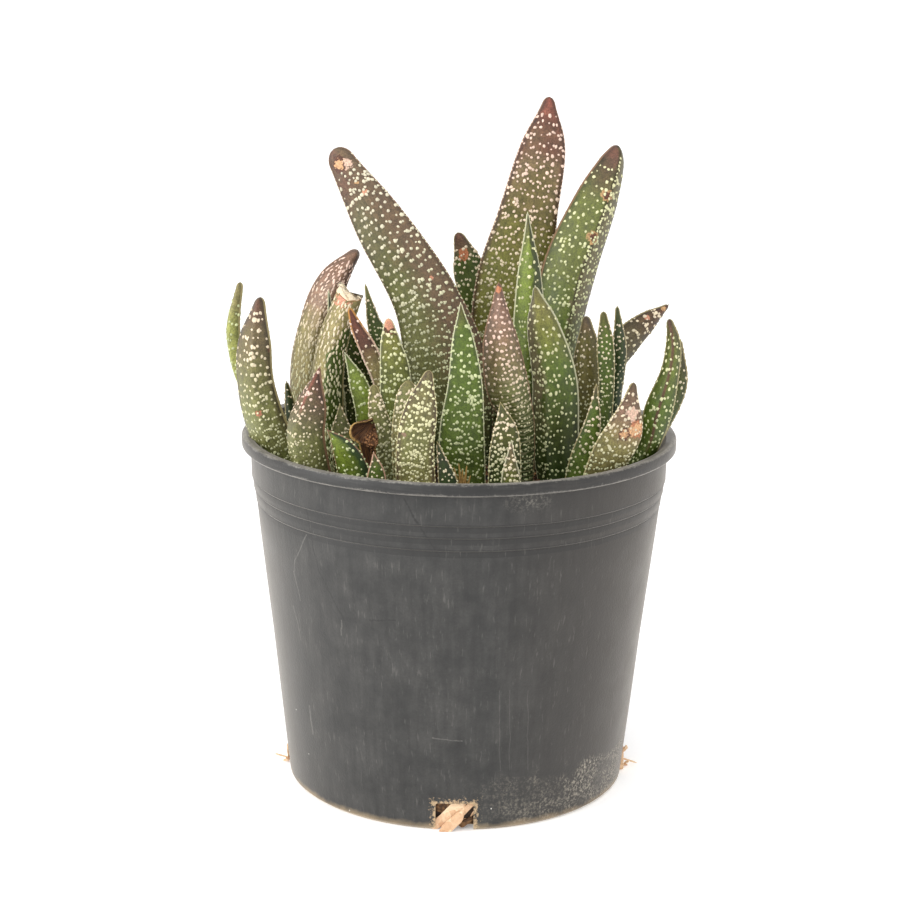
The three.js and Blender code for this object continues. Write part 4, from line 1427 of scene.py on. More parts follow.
@dataclass(frozen=True)
class FleshyRoot:
    """The corky pale skin of gasteria roots, ringed and stained by the soil."""

    pale: int = 0xC7B48D
    stain: int = 0x7C6242

    def material(self, name: str) -> bpy.types.Material:
        """Makes the root skin.

        Args:
            name: The material's name.

        Returns:
            The material.
        """
        material, add = new_material(name)
        place = add("TexCoord").outputs["Object"]
        rings = add("TexNoise", {"Vector": place, "Scale": 1 / (1.8 * MM), "Detail": 4.0})
        colour = add("ValToRGB", {0: rings}, stops=((0.35, self.stain), (0.6, self.pale)))
        bump = add("Bump", {"Height": rings, "Strength": 0.6, "Distance": 0.4 * MM})
        add("OutputMaterial", {"Surface": add("BsdfPrincipled", {
            "Base Color": colour, "Roughness": 0.8, "Normal": bump})})
        return material


# The long chips that fill a notch: place, size, lean in degrees and finish.
NOTCH_CHIPS = (
    ((-2.2, -66.0, 6.6), (14.6, 2.2, 6.2), 47, 2), ((4.3, -66.2, 8.6), (11.2, 1.8, 3.3), 43, 2),
    ((-0.8, -68.0, 3.4), (10.4, 2.4, 5.4), 42, 2), ((5.9, -65.2, 6.2), (5.6, 1.6, 3.6), 60, 2),
    ((-5.4, -64.6, 9.0), (5.4, 1.6, 3.2), 30, 1), ((4.4, -65.6, 3.2), (5.6, 2.0, 3.2), 35, 1))
# Bits that have come out of the side notches: place, size and lean in degrees.
SPILT_BITS = (
    ((-70.8, -0.8, 2.4), (5.6, 0.9, 0.8), -16), ((-69.2, -1.6, 1.0), (2.2, 1.4, 1.2), 10),
    ((-68.8, 0.8, 0.8), (1.6, 1.2, 1.0), 0), ((69.4, -1.2, 7.6), (2.8, 1.6, 2.0), 50),
    ((71.2, -0.6, 2.2), (5.8, 0.9, 0.8), -18), ((69.2, -2.0, 0.9), (2.4, 1.6, 1.1), 0),
    ((70.4, 1.0, 0.8), (1.8, 1.4, 0.9), 20))


@dataclass
class PottingMix:
    """The bark mix that fills the pot, with loose flakes on top and in the notches.

    Args:
        pot: The pot that holds it.
        top: The height of its surface.
        relief: How uneven the surface is.
        gap: The gap to the pot.
        flakes: The number of loose flakes on top.
        crumbs: The number of small crumbs on top.
        notch_bits: The number of small flakes in each notch.
        sides: The number of facets round it.
        lid_rings: The number of rings on its surface.
    """

    pot: NurseryPot
    top: float = 127.6
    relief: float = 1.3
    gap: float = 0.3
    flakes: int = 420
    crumbs: int = 500
    notch_bits: int = 40
    sides: int = 144
    lid_rings: int = 40

    def body(self) -> bmesh.types.BMesh:
        """Spins the closed filling and roughens its surface.

        Returns:
            The mesh, in metres.
        """
        pot = self.pot
        inside = [(pot.radius(z) - pot.wall - self.gap - 0.4, z)
                  for z in (pot.floor + 2.4, 60.0, self.top - 1.5)]
        rim = inside[-1][0]
        lid = [(rim * (1 - i / self.lid_rings), self.top) for i in range(1, self.lid_rings)]
        under = pot.floor + self.gap
        bm = spun([(0, under), (pot.base - 5.0, under), *inside, *lid, (0, self.top)], self.sides)
        for vert in bm.verts:
            if vert.co.z > (self.top - 1) * MM:
                lump = noise.noise(vert.co / (7 * MM)) + 0.6 * noise.noise(vert.co / (2.3 * MM))
                vert.co.z += lump * self.relief * MM
        for face in bm.faces:
            face.smooth = True
        return bm

    def flake(self, seed: int) -> bpy.types.Mesh:
        """Shapes one flake of bark, about 1 across, to be laid in many places.

        Args:
            seed: Which of the shapes it is.

        Returns:
            The flake's mesh, which the caller removes.
        """
        bm = bmesh.new()
        bmesh.ops.create_cube(bm, size=1.0)
        bmesh.ops.bevel(bm, geom=bm.edges[:], offset=0.14, segments=1, affect="EDGES", profile=0.5,
                        material=-1)
        for vert in bm.verts:
            vert.co += noise.noise_vector(vert.co * 1.7 + Vector((seed * 9.1, 0, 0))) * 0.24
            vert.co.y *= 1 - 0.5 * abs(vert.co.x)
            vert.co.z *= 0.9 - 0.7 * abs(vert.co.x)
        mesh = bpy.data.meshes.new("flake")
        bm.to_mesh(mesh)
        bm.free()
        return mesh

    def scatter(self, bm: bmesh.types.BMesh) -> None:
        """Lays flakes and crumbs on the surface and flakes in the notches.

        Args:
            bm: The mix's mesh.
        """
        rng = random.Random(42)
        shapes = [self.flake(seed) for seed in range(5)]

        def lay(place: Vector, size: Vector, turn: Matrix, dress: int) -> None:
            """Lays one flake, in millimetres, turned as the matrix says."""
            copy = rng.choice(shapes).copy()
            copy.transform(Matrix.Translation(place * MM) @ turn @ Matrix.Diagonal((*(size * MM), 1)))
            count = len(bm.faces)
            bm.from_mesh(copy)
            bpy.data.meshes.remove(copy)
            for face in list(bm.faces)[count:]:
                face.material_index = dress

        def tumbled(tilt: float) -> Matrix:
            """Turns a flake at random and leans it up to tilt."""
            turn = Matrix.Rotation(rng.uniform(0, math.tau), 4, "Z")
            forward = Matrix.Rotation(rng.uniform(-tilt, tilt), 4, "X")
            return turn @ forward @ Matrix.Rotation(rng.uniform(-tilt, tilt), 4, "Y")

        rim = self.pot.radius(self.top) - self.pot.wall - 3.0
        for i in range(self.flakes + self.crumbs):
            reach, way = rim * math.sqrt(rng.random()), rng.uniform(0, math.tau)
            if i < self.flakes:
                size = Vector((rng.uniform(3, 10), rng.uniform(2, 5), rng.uniform(1, 2.6)))
            else:
                size = Vector([rng.uniform(0.6, 2.2)] * 3)
            place = Vector((reach * math.cos(way), reach * math.sin(way), self.top + rng.uniform(-0.2, 1.2)))
            lay(place, size, tumbled(0.5), rng.choice((0, 0, 1)))
        for quarter in range(4):
            quarter_turn = Matrix.Rotation(quarter * math.pi / 2, 4, "Z")
            for _ in range(self.notch_bits):
                side, z = rng.uniform(-6.4, 6.4), rng.uniform(1.0, 10.4)
                deep = self.pot.base - self.pot.wall - rng.uniform(3.6, 6.4)
                size = Vector((rng.uniform(1.4, 4.2), rng.uniform(1.2, 3), rng.uniform(1.0, 2.2)))
                lay(quarter_turn @ Vector((side, -deep, z)), size, tumbled(0.9), rng.choice((0, 0, 0, 1)))
            for place, size, lean, dress in NOTCH_CHIPS:
                rise = Matrix.Rotation(-math.radians(lean + rng.uniform(-4, 4)), 4, "Y")
                lay(quarter_turn @ Vector(place), Vector(size), quarter_turn @ rise, dress)
        for place, size, lean in SPILT_BITS:
            lay(Vector(place), Vector(size), Matrix.Rotation(-math.radians(lean), 4, "Y"), 2)
        for vert in bm.verts:
            vert.co.z = max(vert.co.z, 0.2 * MM)
        for shape in shapes:
            bpy.data.meshes.remove(shape)

    def build(self) -> bpy.types.Object:
        """Models and dresses the mix.

        Returns:
            The finished piece.
        """
        bm = self.body()
        self.scatter(bm)
        finishes = (BarkMix().material("composted_bark"), BarkMix(lift=0.22).material("dry_bark_flake"),
                    BarkMix(dark=0x8A6244, mid=0xC69C78, dry=0xE6CAA8, lift=0.3).material("fresh_bark_flake"))
        piece = settle(bm, "potting_mix_piece", *finishes)
        seat(piece, Slot.MIX, "potting_mix")
        return piece


# ---------------------------------------------------------------- the clump

PLAIN_DOTS = Tubercles(size=1.35, foot_size=1.2, foot_gap=1.55, tip_gap=2.0)
FINE_DOTS = Tubercles(size=0.95, foot_size=0.85, foot_gap=1.25, tip_gap=1.6, band=3.2)
DENSE_DOTS = Tubercles(size=1.3, foot_size=1.05, foot_gap=1.1, tip_gap=1.6, band=3.4, paired=0.45)
ROW_DOTS = Tubercles(size=1.45, foot_size=1.0, foot_gap=1.2, tip_gap=2.3, band=3.4, paired=0.45,
                     banding=0.85)
YELLOW_DOTS = Tubercles(size=1.35, foot_size=1.15, foot_gap=1.4, tip_gap=1.85, tip_colour=YELLOW_CREAM)
PINK_DOTS = Tubercles(size=1.35, foot_size=1.05, foot_gap=1.3, tip_gap=1.85, tip_colour=PINK_CREAM)
LONG_DOTS = Tubercles(size=0.95, foot_size=0.95, foot_gap=1.15, tip_gap=1.4, stretch=2.0, banding=0.1,
                      paired=0.1)
WAVY_DOTS = Tubercles(size=1.4, foot_size=0.95, foot_gap=1.05, tip_gap=1.5, stretch=0.8, band=2.4,
                      banding=0.9)
SPARSE_DOTS = Tubercles(size=1.3, foot_size=1.2, foot_gap=1.7, tip_gap=2.5, tip_colour=GREEN_CREAM,
                        bare_tip=0.1)

GREEN_SKIN = LeafSkin(((0.0, DARK_GREEN), (0.3, FOREST_GREEN), (0.7, LEAF_GREEN), (1.0, OLIVE)), Slot.GREEN)
OLIVE_SKIN = LeafSkin(((0.0, FOREST_GREEN), (0.4, OLIVE), (0.8, OLIVE), (1.0, BROWN)), Slot.OLIVE)
PURPLE_SKIN = LeafSkin(((0.0, GREY_GREEN), (0.35, MOSS), (0.65, BROWN), (1.0, RED_BROWN)), Slot.PURPLE,
                       margin=BROWN_HORN)
DARK_SKIN = LeafSkin(((0.0, BLACK_GREEN), (0.4, DEEP_GREEN), (1.0, DARK_GREEN)), Slot.DARK)
PALE_SKIN = LeafSkin(((0.0, GREY_OLIVE), (0.3, PALE_OLIVE), (0.7, GREY_OLIVE), (1.0, PALE_OLIVE)), Slot.PALE)


LEAVES: tuple[Leaf, ...] = (
    # The tall leaves in the middle.
    Leaf("tall_middle", replace(OLIVE_SKIN, tones=((0.0, FOREST_GREEN), (0.2, LIME_OLIVE),
        (0.4, LIME_OLIVE), (0.6, OLIVE), (0.72, TAN_BROWN), (0.84, RED_BROWN), (0.94, DUSTY_RED),
        (1.0, BURNT_RED)), rim=MAROON, margin=BROWN_HORN),
        replace(PINK_DOTS, bare_tip=0.05), -90, 13,
        ((20, 11, 122, 24), (20, 14, 166, 31.6), (21.7, 16, 196, 32), (25.8, 18, 222, 24),
         (31.7, 22, 250, 17.8), (33.8, 25, 269, 4)), keel=0.1, turn=8),
    Leaf("tall_right", replace(GREEN_SKIN, tones=((0.0, DARK_GREEN), (0.22, LEAF_GREEN),
        (0.42, GREEN_OLIVE), (0.62, GREEN_OLIVE), (0.76, BRONZE), (0.84, RED_BROWN), (1.0, RED_BROWN)),
        flush=BROWN_OLIVE, flush_side=-1, flush_edge=-0.3, flush_soft=0.1, flush_from=0.2,
        margin=BROWN_HORN, ridge=DARK_BROWN, ridge_width=0.9, ridge_from=0.25,
        marks=(Mark(0.64, 0.12, Side.KEEL, 3.0, SCAR_BROWN, edge=TAN),
        Mark(0.5, 0.05, Side.KEEL, 3.4, SCAR_BROWN, edge=TAN))),
        replace(YELLOW_DOTS, keel_beads=True), 90, 14,
        ((33, 6, 122, 20), (37.6, 8, 173, 18.4), (42.6, 12, 203, 21.4), (52.1, 17, 228, 17.6),
         (58.5, 21, 243.5, 10.6), (60.6, 23, 250.7, 4)), keel=-0.35, turn=10),
    Leaf("tall_left", replace(PURPLE_SKIN, tones=((0.0, DEEP_GREEN), (0.2, GREY_GREEN),
        (0.42, GREY_OLIVE), (0.6, MOSS), (0.78, BROWN_OLIVE), (0.88, BROWN), (1.0, RED_BROWN)),
        flush=BROWN, flush_side=1, flush_soft=0.7, flush_from=0.2,
        marks=(Mark(0.95, -0.2, Side.FLAT, 4.4, SCAR_TAN, edge=SCAR_BROWN),
        Mark(0.94, 0.3, Side.FLAT, 4.0, SCAR_PINK), Mark(0.88, 0.15, Side.FLAT, 1.8, TAN),
        Mark(0.84, 0.2, Side.FLAT, 2.2, PEELED), Mark(0.55, 0.5, Side.FLAT, 1.6, PEELED))),
        replace(ROW_DOTS, size=1.45, foot_size=0.95, tip_colour=GREY_CREAM), -90, 14,
        ((0, -6, 122, 27), (-4.4, -4, 162, 33.4), (-13.4, -1, 192, 26.2), (-32.2, 5, 222, 20.6),
         (-50, 13, 249, 9.4)), keel=0.1, turn=-10),
    Leaf("behind_middle", replace(DARK_SKIN, tones=((0.0, DEEP_GREEN), (0.4, FOREST_GREEN),
        (0.78, FOREST_GREEN), (0.9, BROWN), (1.0, RED_BROWN)),
        marks=(Mark(0.8, -0.1, Side.FLAT, 4.6, ORANGE),)),
        PLAIN_DOTS, -100, 6,
        ((6, 31, 122, 12), (5, 27, 184, 12), (3.2, 28, 200, 13), (-1.6, 29, 214.7, 4)), keel=0.2),
    Leaf("narrow_green", replace(GREEN_SKIN, tones=((0.0, FOREST_GREEN), (0.4, FRESH_GREEN),
        (0.8, YELLOW_GREEN), (1.0, OLIVE)), flush=DARK_GREEN, flush_side=-1, flush_edge=-0.3,
        flush_soft=0.15, margin=PALE_HORN),
        replace(YELLOW_DOTS, size=1.2, foot_gap=1.7, tip_gap=2.3), 90, 8,
        ((24, -16, 122, 14), (26, -14, 183, 12), (26, -13, 205, 9), (25, -11, 228, 1)), keel=-0.15),
    # The leaves on the left.
    Leaf("curved_left", replace(PURPLE_SKIN, tones=((0.0, GREY_GREEN), (0.25, STRAW), (0.45, STRAW),
        (0.6, PINK_TAN), (0.8, ROSE_BROWN), (1.0, ROSE_BROWN)), flush=MAROON, flush_side=-1,
        flush_edge=-0.72, flush_soft=0.1, flush_from=0.62),
        replace(LONG_DOTS, tip_colour=PINK_CREAM), 75, 10,
        ((-55, 6, 122, 15), (-60, 5, 157, 15), (-57, 6, 181, 13), (-50.3, 8, 197.6, 12),
         (-40.6, 13, 209.6, 4)), keel=-0.4),
    CutLeaf("cut_left", replace(PALE_SKIN, tones=((0.0, STRAW), (0.3, PALE_STRAW), (0.6, STRAW),
        (1.0, STRAW)), flush=FOREST_GREEN, flush_side=-1, flush_soft=0.12, flush_to=0.6, flush_lean=1.5,
        marks=(Mark(0.975, 0.4, Side.KEEL, 6.5, PEELED),)),
        replace(LONG_DOTS, bare_tip=0.03), 80, 10,
        ((-48, -19, 122, 13), (-50.8, -18, 156, 12.8), (-49, -16, 177, 12), (-42.4, -12, 196.6, 10.2)),
         keel=-0.15, cut=True),
    Leaf("sliver_left", replace(DARK_SKIN, margin=PALE_HORN), FINE_DOTS, 90, 3,
        ((-46, -7, 122, 8), (-49, -7, 173, 5), (-51, -5, 196, 1))),
    Leaf("far_left", replace(OLIVE_SKIN, tones=((0.0, FRESH_GREEN), (0.3, PALE_LIME), (0.7, PALE_LIME),
        (1.0, STRAW))),
        SPARSE_DOTS, 60, 5,
        ((-65, 11, 122, 8), (-83.8, 9, 153, 6.4), (-89.4, 8, 176, 6.8), (-86.6, 10, 196.8, 3)),
         keel=0.1),
    Leaf("left_large", replace(OLIVE_SKIN, tones=((0.0, LEAF_GREEN), (0.2, GREY_OLIVE),
        (0.4, GREY_OLIVE), (0.65, SAGE), (0.85, BROWN), (1.0, RED_BROWN)), rim=BRONZE,
        marks=(Mark(0.38, -0.06, Side.KEEL, 2.4, RUST_SCAR),
        Mark(0.72, -0.95, Side.KEEL, 2.4, MAROON))),
        ROW_DOTS, 60, 12,
        ((-63, -17, 122, 17), (-73, -19, 143, 20), (-78, -20, 162, 17.4), (-78.4, -19, 179, 15),
         (-76.2, -16, 195.5, 4)), keel=-0.4),
    Leaf("left_bud", DARK_SKIN, FINE_DOTS, 90, 3,
        ((-62, -1, 122, 6), (-66, -1, 146, 5), (-68, 0, 159, 1.6))),
    Leaf("thin_dark", replace(DARK_SKIN, tones=((0.0, DEEP_GREEN), (0.6, FOREST_GREEN),
        (1.0, GREY_OLIVE))),
        FINE_DOTS, -80, 4,
        ((-26, -6, 122, 9), (-31, -4, 173, 8), (-34, -3, 185, 5), (-37, -1, 198, 1))),
    Leaf("red_curved", replace(PURPLE_SKIN, tones=((0.0, GREY_OLIVE), (0.35, STRAW), (0.55, MAROON),
        (1.0, RUSSET)), margin=GOLDEN_HORN, margin_foot=PINK_CREAM, margin_width=0.8),
        replace(FINE_DOTS, tip_gap=2.8, tip_colour=PINK_CREAM), -90, 5,
        ((-24, -22, 122, 9), (-29, -23, 159, 6), (-34, -23, 175, 7), (-39, -23, 185, 5),
         (-42, -24, 193, 2)), keel=0.2),
    Leaf("olive_left", replace(OLIVE_SKIN, tones=((0.0, GREY_GREEN), (0.3, GREEN_OLIVE),
        (0.7, LIME_OLIVE), (1.0, LIME_OLIVE)), margin=PALE_HORN,
        marks=(Mark(0.95, 0, Side.FLAT, 6.5, PEELED, edge=SCAR_BROWN),)),
        YELLOW_DOTS, -90, 7,
        ((-23, -34, 122, 13), (-24, -34, 166, 12), (-26, -33, 181, 8), (-27, -33, 191, 3)), keel=0.1),
    Leaf("hidden_left", replace(GREEN_SKIN, tones=((0.0, DARK_GREEN), (0.4, DARK_GREEN),
        (1.0, FOREST_GREEN)), margin=PALE_HORN),
        FINE_DOTS, -80, 7,
        ((-34, 9, 122, 13), (-39.4, 8, 150, 13.4), (-41.4, 7, 166, 10), (-43, 6, 177.4, 2))),
    Leaf("bright_short", replace(GREEN_SKIN, tones=((0.0, FRESH_GREEN), (0.4, YELLOW_GREEN),
        (0.8, YELLOW_GREEN), (1.0, LEAF_GREEN)), margin=PALE_HORN),
        replace(SPARSE_DOTS, size=1.2, tip_gap=1.9, bare_tip=0.12), -90, 5,
        ((-35, -33, 122, 8), (-35, -34, 152, 8), (-38, -35, 166, 7), (-43, -36, 178, 1)), keel=0.1),
    # The low leaves along the front.
    Leaf("left_front", replace(PURPLE_SKIN, tones=((0.0, GREY_OLIVE), (0.3, GREY_OLIVE),
        (0.5, BROWN_OLIVE), (0.8, BROWN), (1.0, MAROON)), flush=MAROON, flush_side=-1, flush_edge=-0.3,
        flush_from=0.8, ridge=DUSTY_RED, ridge_from=0.6,
        marks=(Mark(0.77, -0.05, Side.KEEL, 1.8, PINK_CREAM),)),
        replace(FINE_DOTS, size=1.05, foot_size=0.95, foot_gap=1.15, tip_gap=1.6, bare_tip=0.03,
            tip_colour=PINK_CREAM), 75, 11,
        ((-52, -44, 122, 14), (-57, -46, 147, 15), (-55, -45, 160, 12), (-52, -43, 174, 1)), keel=0.3),
    # Its deep green flush on one half is painted shade.
    Leaf("short_green", replace(GREEN_SKIN, tones=((0.0, LEAF_GREEN), (0.5, FRESH_GREEN),
        (0.85, YELLOW_GREEN), (1.0, OLIVE)), flush=DEEP_GREEN, flush_side=1, flush_edge=0.35,
        flush_soft=0.6, margin=BROWN_HORN),
        replace(SPARSE_DOTS, size=1.1, tip_gap=2.2), -100, 7,
        ((-35, -58, 122, 13), (-39, -58, 139, 12), (-43, -59, 148, 8), (-48, -60, 154, 1)), keel=0.1),
    Leaf("tiny_front", replace(GREEN_SKIN, margin=ROSE_HORN, margin_width=0.6),
        replace(FINE_DOTS, beads=0), -90, 4,
        ((-31, -65, 122, 8), (-30, -65, 138, 7), (-31, -65, 147, 1))),
    Leaf("shaded_left", replace(PALE_SKIN, tones=((0.0, LEAF_GREEN), (0.5, GREY_GREEN),
        (1.0, GREY_OLIVE))),
        FINE_DOTS, -90, 4,
        ((-41, -36, 122, 9), (-44, -36, 145, 9), (-45, -35, 158, 1))),
    Leaf("blunt_grey", replace(PALE_SKIN, tones=((0.0, GREY_GREEN), (0.5, GREY_OLIVE),
        (1.0, PALE_OLIVE))),
        DENSE_DOTS, -90, 4,
        ((-25, -44, 122, 11), (-28, -44, 145, 10), (-31, -44, 160, 6), (-32, -44, 168, 3))),
    DeadLeaf("dead_curl", DeadSkin(), None, -90, 1.2,
        ((-32, -48, 122, 4), (-33, -48, 138, 5), (-34, -50, 146, 6), (-35, -50, 150, 5),
         (-34, -50, 153, 2))),
    Leaf("front_pale", replace(PALE_SKIN, tones=((0.0, PALE_OLIVE), (0.4, GREY_OLIVE), (0.7, SAGE),
        (1.0, SAGE)), rim=BROWN, marks=(Mark(0.43, -0.65, Side.FLAT, 2.0, PINK_TAN),)),
        replace(DENSE_DOTS, foot_colour=YELLOW_CREAM, tip_colour=YELLOW_CREAM), -90, 8,
        ((-15, -62, 122, 15), (-16, -62, 148, 14), (-14, -62, 163, 12), (-11, -60, 177, 3)), keel=0.2),
    Leaf("front_hidden", PALE_SKIN, DENSE_DOTS, -90, 6,
        ((-18, -51, 122, 11), (-20, -51, 149, 10), (-19, -51, 164, 9), (-19, -50, 171, 4))),
    Leaf("front_green", replace(GREEN_SKIN, tones=((0.0, FOREST_GREEN), (0.3, LEAF_GREEN),
        (0.8, LEAF_GREEN), (1.0, OLIVE)), margin=PALE_HORN),
        replace(SPARSE_DOTS, size=1.3, foot_size=1.15, foot_gap=1.4, tip_gap=2.2, paired=0.4), -90, 9,
        ((2, -50, 122, 17), (1, -50, 149, 17), (2, -49, 169, 13), (1, -47, 186, 8), (0, -45, 199, 1)),
         keel=0.1),
    Leaf("dark_front", DARK_SKIN, FINE_DOTS, -90, 4,
        ((-1, -63, 122, 8), (-4, -62, 136, 7), (-8, -60, 150, 1))),
    Leaf("purple_middle", replace(PURPLE_SKIN, tones=((0.0, DEEP_GREEN), (0.25, DARK_GREEN),
        (0.5, GREY_GREEN), (0.7, TAN_BROWN), (0.88, ROSE_BROWN), (1.0, RED_BROWN)), ridging=0.5,
        marks=(Mark(0.97, 0.25, Side.KEEL, 2.6, ORANGE),)),
        replace(WAVY_DOTS, tip_colour=PINK_CREAM), 90, 11,
        ((24, -37, 122, 9), (23, -38, 150, 11), (18, -39, 166, 16), (15, -38, 184, 13),
         (14, -35, 205, 2)), keel=-0.2),
    Leaf("front_brown", replace(OLIVE_SKIN, tones=((0.0, DEEP_GREEN), (0.3, DARK_GREEN),
        (0.6, DEEP_OLIVE), (1.0, MOSS))),
        DENSE_DOTS, -90, 6,
        ((17, -55, 122, 12), (17, -56, 142, 12), (17, -56, 154, 9), (15, -55, 164, 1)), keel=0.1),
    Leaf("front_small", replace(PALE_SKIN, tones=((0.0, GREY_GREEN), (0.5, GREEN_OLIVE),
        (1.0, TAN_BROWN)), margin=PALE_HORN),
        DENSE_DOTS, -90, 4,
        ((20, -66, 122, 8), (19, -66, 138, 7), (19, -65, 152, 1)), keel=0.1),
    # The leaves on the right.
    Leaf("olive_right", replace(OLIVE_SKIN, tones=((0.0, DEEP_GREEN), (0.3, DARK_GREEN),
        (0.5, LEAF_GREEN), (0.75, LIME_OLIVE), (1.0, PALE_OLIVE)), flush=BROWN_OLIVE, flush_side=1,
        flush_edge=0.5, flush_from=0.35, margin=PALE_HORN),
        replace(YELLOW_DOTS, size=1.3), 90, 12,
        ((40, -28, 122, 17), (37, -27, 143, 18), (36, -27, 167, 17), (31, -26, 188, 12),
         (28, -24, 202, 2)), keel=0.45),
    Leaf("right_bud", replace(GREEN_SKIN, tones=((0.0, LEAF_GREEN), (0.5, LEAF_GREEN),
        (0.8, LEAF_GREEN), (1.0, BROWN))),
        PLAIN_DOTS, -90, 7,
        ((45, -41, 122, 13), (47, -41, 139, 11), (50, -41, 154, 6), (51, -40, 168, 1)), keel=0.2),
    Leaf("right_scarred", replace(PALE_SKIN, tones=((0.0, SAGE), (0.5, PALE_OLIVE), (0.75, ROSE_BROWN),
        (1.0, BROWN)), marks=(Mark(0.78, 0.25, Side.FLAT, 5.2, SCAR_PINK, edge=BROWN),
        Mark(0.68, 0.65, Side.FLAT, 4.2, SCAR_TAN, edge=ORANGE),
        Mark(0.65, 0.3, Side.FLAT, 3.6, SCAR_TAN),
        Mark(0.61, 0.0, Side.FLAT, 3.4, SCAR_TAN, edge=SCAR_BROWN))),
        replace(ROW_DOTS, size=1.3, foot_gap=1.05, tip_gap=1.9), -65, 8,
        ((50, -49, 122, 17), (56, -50, 142, 17), (61.3, -50, 154, 15.4), (64.2, -48, 170.8, 2.6)),
         keel=0.1),
    Leaf("right_behind", DARK_SKIN, PLAIN_DOTS, -150, 6,
        ((66, 12, 122, 9), (69, 13, 133, 8), (71, 14, 142, 2))),
    Leaf("olive_back", OLIVE_SKIN, FINE_DOTS, 90, 8,
        ((50, -12, 122, 12), (49, -12, 156, 12), (49.3, -11, 173, 10.8), (48.4, -9, 188.4, 3)),
         keel=0.3),
    Leaf("narrow_right", GREEN_SKIN, FINE_DOTS, -90, 5,
        ((53, -23, 122, 7), (56, -21, 158, 6), (55.3, -20, 179, 6.6), (54.2, -19, 192, 2.4))),
    Leaf("dark_right", DARK_SKIN, FINE_DOTS, 90, 5,
        ((58, -7, 122, 8), (60.2, -8, 155, 5.6), (61.6, -8, 175, 5.8), (60.4, -6, 191.6, 1.6))),
    Leaf("outward_right", replace(PURPLE_SKIN, tones=((0.0, DEEP_GREEN), (0.4, BROWN_OLIVE),
        (0.7, BRONZE), (1.0, MAROON)), margin=HORN, marks=(Mark(0.78, 0.4, Side.KEEL, 2.4, PEELED),
        Mark(0.94, 0.35, Side.KEEL, 2.2, TAN))),
        PLAIN_DOTS, 90, 7,
        ((50, 8, 122, 10), (56, 8, 158, 9.6), (65, 10, 174, 11.2), (73, 13, 181.7, 8.8),
         (82.4, 17, 188.4, 1.8))),
    Leaf("right_curved", replace(GREEN_SKIN, tones=((0.0, FOREST_GREEN), (0.4, LEAF_GREEN),
        (0.75, GREEN_OLIVE), (1.0, BROWN)), ridge=MAROON, ridge_width=0.8, ridge_from=0.2),
        replace(YELLOW_DOTS, size=1.2, foot_size=1.1), 80, 8,
        ((63, -22, 122, 10), (73, -23, 141, 8), (76, -23, 154, 11), (80, -22, 169, 7.4),
         (81.2, -20, 180, 5.8), (79.4, -18, 189.3, 2.4))),
    Leaf("right_outer", replace(OLIVE_SKIN, tones=((0.0, DARK_GREEN), (0.5, FOREST_GREEN),
        (1.0, BRONZE))),
        PLAIN_DOTS, 80, 5,
        ((67, -8, 122, 7), (77, -11, 142, 6), (85, -9, 161, 6.4), (85.4, -6, 178.6, 1.6))),
    # The shorter leaves inside and along the back.
    Leaf("back_left_broad", GREEN_SKIN, PLAIN_DOTS, -45, 8,
        ((-44, 38, 122, 13), (-50, 44, 140, 13), (-54, 49, 152, 9), (-57, 52, 162, 2)), keel=0.2),
    Leaf("back_left_upright", DARK_SKIN, PLAIN_DOTS, -60, 7,
        ((-35, 26, 122, 12), (-36, 28, 142, 12), (-37, 30, 155, 8), (-37, 31, 164, 2))),
    Leaf("back_left_low", OLIVE_SKIN, DENSE_DOTS, -70, 7,
        ((-29, 46, 122, 11), (-31, 51, 138, 11), (-33, 55, 150, 2))),
    Leaf("back_left_outer", PURPLE_SKIN, PLAIN_DOTS, -25, 6,
        ((-56, 24, 122, 10), (-62, 27, 134, 9), (-66, 29, 144, 2))),
    Leaf("inner_left", DARK_SKIN, PLAIN_DOTS, -80, 9,
        ((-8, 17, 122, 15), (-9, 19, 152, 14), (-10, 21, 172, 10), (-11, 22, 182, 2)), keel=0.1),
    Leaf("inner_low", OLIVE_SKIN, PLAIN_DOTS, -80, 8,
        ((-19, 32, 122, 14), (-19, 33, 150, 13), (-18, 35, 166, 3)), keel=-0.2),
    Leaf("inner_right", PURPLE_SKIN, PINK_DOTS, -100, 9,
        ((21, 38, 122, 15), (20, 40, 150, 15), (19, 41, 170, 11), (18, 42, 183, 2)), keel=0.1),
    Leaf("inner_small", GREEN_SKIN, PLAIN_DOTS, -95, 8,
        ((28, 23, 122, 13), (29, 25, 150, 12), (30, 26, 168, 3))),
    Leaf("back_tall", GREEN_SKIN, YELLOW_DOTS, -90, 9,
        ((2, 48, 122, 14), (2, 50, 145, 14), (1, 52, 163, 9), (0, 54, 176, 2)), keel=0.2),
    Leaf("back_middle_left", OLIVE_SKIN, PLAIN_DOTS, -80, 7,
        ((-12, 52, 122, 12), (-14, 56, 140, 12), (-16, 60, 155, 8), (-18, 62, 164, 2))),
    Leaf("back_middle_right", DARK_SKIN, DENSE_DOTS, -100, 7,
        ((20, 53, 122, 12), (23, 58, 140, 12), (25, 62, 154, 8), (26, 64, 163, 2))),
    Leaf("back_rim", PURPLE_SKIN, PINK_DOTS, -90, 7,
        ((4, 65, 122, 12), (5, 70, 138, 11), (6, 74, 150, 7), (7, 77, 158, 2)), keel=0.2),
    Leaf("back_right_upright", GREEN_SKIN, PLAIN_DOTS, -110, 7,
        ((34, 32, 122, 13), (36, 35, 145, 12), (37, 37, 160, 8), (38, 38, 170, 2))),
    Leaf("back_right_broad", OLIVE_SKIN, ROW_DOTS, -135, 8,
        ((45, 42, 122, 13), (49, 47, 140, 13), (52, 50, 152, 9), (54, 52, 160, 2)), keel=-0.2),
    Leaf("back_right_low", GREEN_SKIN, PLAIN_DOTS, -110, 6,
        ((33, 52, 122, 11), (35, 57, 137, 11), (37, 61, 149, 2))),
    Leaf("back_right_inner", OLIVE_SKIN, PLAIN_DOTS, -110, 8,
